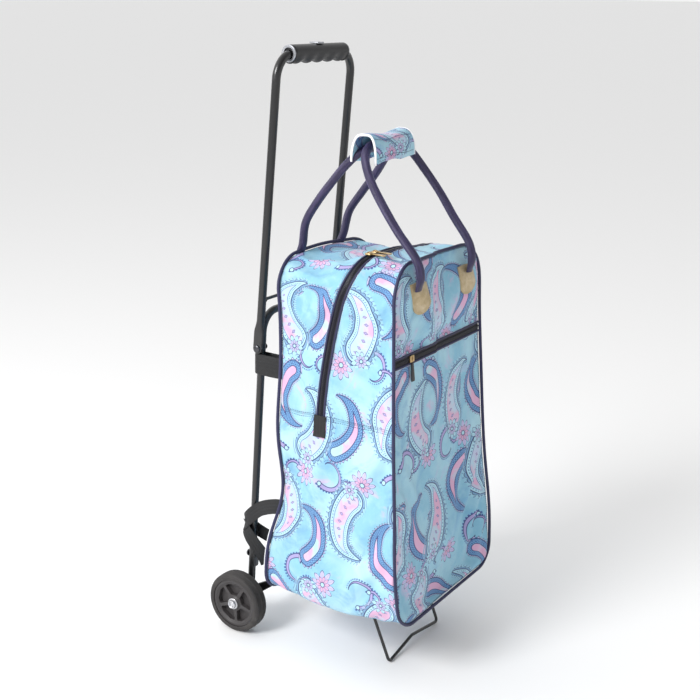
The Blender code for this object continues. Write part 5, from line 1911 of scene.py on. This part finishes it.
def build_shelf(materials):
    """The bent wire with its foot, and the arms that hinge it on the axle."""
    black = materials["frame_black"]
    tip_forward, tip_z = 0.030, 0.070
    kink, front = (WIRE_X, 0.133, 0.0895), (WIRE_X, 0.2265, 0.0835)
    foot, middle = (FOOT_X, 0.261, WIRE_RADIUS), (0, 0.257, 0.012)
    run = Vector((0, kink[1] - tip_forward, kink[2] - tip_z)).normalized() * 0.0058
    half = [(WIRE_X, tip_forward + run.y, tip_z + run.z), kink, front, foot]
    corners = [place(-x, f, z) for x, f, z in half] + [place(*middle)]
    corners += [place(x, f, z) for x, f, z in reversed(half)]
    path = fillet(corners, [0.030, 0.008, 0.006, 0.020, 0.006, 0.008, 0.030], 10)
    wire = sweep("shelf_wire_rod", even_path(path, 0.0022), (WIRE_RADIUS, WIRE_RADIUS), (1, 0, 0), black)
    finish_piece(wire, "shelf", "frame_black", "shelf_wire")
    climb = math.atan2(tip_z - AXLE_Z, tip_forward)
    for side, sign in SIDES.items():
        outline = []
        for step in range(17):
            turn = climb + math.pi / 2 + math.pi * step / 16
            outline.append((0.0085 * math.cos(turn), AXLE_Z + 0.0085 * math.sin(turn)))
        for step in range(13):
            turn = climb - math.pi / 2 + math.pi * step / 12
            outline.append((tip_forward + 0.0058 * math.cos(turn), tip_z + 0.0058 * math.sin(turn)))
        x = sign * WIRE_X
        arm = outlined_slab("hinge_arm_%s_plate" % side, outline, place, x - 0.0032, x + 0.0032, black,
                            0.0010)
        finish_piece(arm, "shelf", "frame_black", "hinge_arm_" + side)
        along = (place(x, kink[1], kink[2]) - place(x, tip_forward, tip_z)).normalized()
        start = place(x, tip_forward, tip_z)
        swept_part("wire_socket_" + side, [start + along * (0.001 + 0.0011 * k) for k in range(9)],
                   lambda k: (0.0047 - 0.00016 * k,) * 2, (1, 0, 0), black, "shelf", "frame_black", sides=24)
        boss = [(0.0033, 0.0034), (0.0033, 0.0062), (0.0040, 0.0066), (0.0046, 0.0060), (0.0046, 0.0034)]
        for end in (-1, 1):
            turned_part("hinge_boss_%s_%d" % (side, end > 0), end, boss, place(x, 0, AXLE_Z),
                        materials["black_plastic"], 40, "shelf", "black_plastic")


def build_anchors(materials):
    """A small plate and a rivet behind each lower strap."""
    bolt_z = middle_of("anchor_rivet_left").z
    plate_low, plate_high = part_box("strap_anchor_left")
    for side, sign in SIDES.items():
        x = sign * LEG_X
        outline = []
        for cx, cz, start in ((0.0040, plate_high.z - 0.0025, 0), (-0.0040, plate_high.z - 0.0025, 90),
                              (-0.0040, plate_low.z + 0.0025, 180), (0.0040, plate_low.z + 0.0025, 270)):
            for step in range(5):
                turn = math.radians(start + 90 * step / 4)
                outline.append((x + cx + 0.0025 * math.cos(turn), cz + 0.0025 * math.sin(turn)))
        plate = outlined_slab("strap_anchor_%s_plate" % side, outline,
                              lambda off_leg, u, z: place(u, lower_forward(z) + off_leg, z),
                              LOWER_TUBE_RADIUS + 0.0003, LOWER_TUBE_RADIUS + 0.0019,
                              materials["frame_black"], 0.0004)
        finish_piece(plate, "frame", "frame_black", "strap_anchor_" + side)
        low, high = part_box("anchor_rivet_" + side)
        back, front = high.y, low.y
        head = [(back, 0.0), (back - 0.0003, 0.0026), (back - 0.0012, 0.0044), (back - 0.0026, 0.0054),
                (back - 0.0044, 0.0056), (back - 0.0045, 0.0020), (front + 0.0021, 0.0020),
                (front + 0.0020, 0.0042), (front + 0.0008, 0.0036), (front, 0.0016), (front, 0.0)]
        rivet = turned("anchor_bolt_" + side, head, Vector((x, 0, bolt_z)), materials["dark_steel"], 40,
                       axis='Y')
        finish_piece(rivet, "frame", "steel", "anchor_rivet_" + side)


def build_webbing(materials):
    """Black webbing from the bag's back round the legs; the lower pair ends in loose tails."""
    webbing = materials["webbing"]
    z = UPPER_WEBBING_Z
    around = LOWER_TUBE_RADIUS + 0.0015
    bag_y = AXLE_Y - back_forward(z) + 0.0012
    for side, sign in SIDES.items():
        leg = place(sign * LEG_X, lower_forward(z), z)

        def flank(out, share, slack):
            """A place between the bag and the leg, on the leg's inner or outer side."""
            reach = around + out * sign * slack * math.sin(share * math.pi)
            spot = Vector((leg.x + out * reach, bag_y + (leg.y - bag_y) * share, z))
            return spot, Vector((out, 0, 0))

        line = [flank(-sign, step / 8, 0.0012) for step in range(9)]
        for step in range(1, 16):
            turn = math.pi * step / 16
            normal = Vector((-sign * math.cos(turn), math.sin(turn), 0))
            line.append((leg + normal * around, normal))
        line += [flank(sign, 1 - step / 8, 0.0020) for step in range(9)]
        for label, band, height, nodes in (("band", line, 0.0, ("upper_webbing_" + side,)),
                                           ("overlap", line[20:33], 0.0017, ())):
            ribbon("upper_webbing_%s_%s" % (side, label), lifted(band, height), [n for _, n in band],
                   0.0165, webbing, "frame", *nodes)
        knots = [((0.0880, 0.0735, 0.219), (0.85, 0.5, 0.15)), ((0.0965, 0.052, 0.2195), (1, 0.25, 0.35)),
                 ((0.1005, 0.028, 0.211), (1, 0.0, 0.35)), ((0.1010, 0.010, 0.196), (1, -0.05, 0.2)),
                 ((0.0990, -0.003, 0.182), (0.9, -0.5, 0.1)), ((0.0915, -0.0085, 0.172), (0.0, -1, 0)),
                 ((0.0830, -0.002, 0.166), (-0.9, -0.5, 0)), ((0.0812, 0.015, 0.160), (-1, 0, 0)),
                 ((0.0830, 0.045, 0.154), (-1, 0.2, 0)), ((0.0860, 0.0735, 0.152), (-0.8, 0.6, 0))]
        lay_webbing("lower_webbing_%s_loop" % side, knots, sign, 0.0118, webbing,
                    "lower_webbing_" + side)
        knots = [((0.0935, -0.0090, 0.176), (0.3, -1, 0)), ((0.1010, -0.0010, 0.168), (0.95, -0.4, 0.2)),
                 ((0.1028, 0.010, 0.155), (1, 0.0, 0.25)), ((0.1005, 0.022, 0.140), (1, 0.15, 0.2)),
                 ((0.0960, 0.031, 0.126), (0.9, 0.4, 0.2)), ((0.0915, 0.0345, 0.114), (0.8, 0.6, 0.1))]
        lay_webbing("lower_webbing_%s_tail" % side, knots, sign, 0.0112, webbing)
        ring = []
        middle = place(sign * 0.0905, 0.0350, 0.108)
        for step in range(32):
            turn = math.tau * step / 32
            ring.append(middle + Vector((sign * 0.004 * math.cos(turn), -0.0105 * math.cos(turn) * 0.75,
                                         0.0060 * math.sin(turn))))
        swept_part("lower_buckle_" + side, ring, (0.0011, 0.0011), (1, 0, 0), materials["steel"],
                   "frame", "steel", closed=True)


def lay_webbing(name, knots, sign, half_width, material, *nodes):
    """A tape through knots, each a place and the direction that its face looks in."""
    centres = smooth_path([place(sign * x, f, z) for (x, f, z), _ in knots], CURVE_STEPS)
    facing = smooth_path([Vector((sign * x, -f, z)) for _, (x, f, z) in knots], CURVE_STEPS)
    ribbon(name, centres, [n.normalized() for n in facing], half_width, material, "frame", *nodes)


# ---------------------------------------------------------------- zip sliders and other hardware
def build_slider(node, axes, half_sizes, sink, reach, rise, half_width, brass):
    """A slider's body and the bridge that holds its puller; the axes point across, along and out."""
    across, along, out = axes
    middle = middle_of(node)
    body = soft_box(node + "_body", middle - out * sink, axes, half_sizes, brass, 0.0011)
    finish_piece(body, node, "brass", node)
    bridge = [middle + along * v + out * (0.0006 + rise * math.cos(v / reach * math.pi / 2))
              for v in np.linspace(-reach, reach, 13)]
    swept_part(node + "_bridge", bridge, (half_width, 0.0006), across, brass, node, "brass")


def build_puller(node, outline, along, out, half, half_thickness, material, bevel, slot):
    """A puller's tongue: outline holds (half width, share of its half length)."""
    middle = middle_of(node)
    tongue = outlined_slab(node + "_tongue", mirrored(outline),
                           lambda lift, u, v: middle + Vector((u, 0, 0)) + along * (v * half) + out * lift,
                           -half_thickness, half_thickness, material, bevel)
    finish_piece(tongue, node, slot, node)


def build_sliders(materials):
    brass = materials["brass"]
    across = Vector((1, 0, 0))
    along, out = Vector((0, 1, 0)), Vector((0, 0, 1))
    for side in SIDES:
        build_slider("top_slider_" + side, (across, along, out), (0.0060, 0.0046, 0.0016), 0.0006,
                     0.0040, 0.0016, 0.0014, brass)
        low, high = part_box("top_puller_" + side)
        outline = [(0.0018, -1), (0.0024, -0.86), (0.0024, -0.55), (0.0030, -0.40), (0.0037, 0.60),
                   (0.0034, 0.86), (0.0020, 1)]
        build_puller("top_puller_" + side, outline, -along, out, (high.y - low.y) / 2, 0.00075, brass,
                     0.0003, "brass")
    along = Vector((0, FRONT_LEAN_BACK, 1)).normalized()
    out = across.cross(along).normalized()
    build_slider("pocket_slider", (across, along, out), (0.0055, 0.0050, 0.0016), 0.0005, 0.0042, 0.0015,
                 0.0013, brass)
    low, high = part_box("pocket_puller")
    outline = [(0.0022, 1), (0.0028, 0.86), (0.0036, 0.1), (0.0043, -0.80), (0.0038, -1)]
    build_puller("pocket_puller", outline, along, out, (high.z - low.z) / 2, 0.0009,
                 materials["black_plastic"], 0.0004, "webbing")


def build_lower_binding(skin, materials):
    """Pale binding that shows behind the rear piping at the bag's lower corners."""
    for side, sign in SIDES.items():
        edge = [skin.band[k, 0] for k in range(CELLS_ACROSS, len(skin.loop))]
        path = [skin.spot(index) + Vector((sign * 0.0012, 0.0042, -0.0002)) for index in edge
                if skin.rest[index][0] * sign > 0 and skin.rest[index][2] < BINDING_TOP]
        swept_part("lower_binding_" + side, path, (0.0013, 0.0013), (0, 1, 0), materials["white_binding"],
                   "bag", "piping", sides=12)


def dress_board(materials):
    """The stiffener board keeps its CAD shape and gets its own material."""
    board = NODES["base_board"]
    board.data.materials.clear()
    board.data.materials.append(materials["board"])


def main():
    build_camera()
    build_studio()
    materials = build_materials()
    skin = build_bag(materials)
    seams = build_bag_seams(skin, materials)
    build_piping(skin, materials)
    build_zips(skin, materials, *seams)
    for build in (build_tabs, build_straps, build_wrap):
        build(materials)
    build_lower_binding(skin, materials)
    for build in (build_sliders, build_tubes, build_handle, build_grip, build_pivots, build_axle,
                  build_wheels, build_anchors, build_shelf, build_webbing, dress_board):
        build(materials)


main()
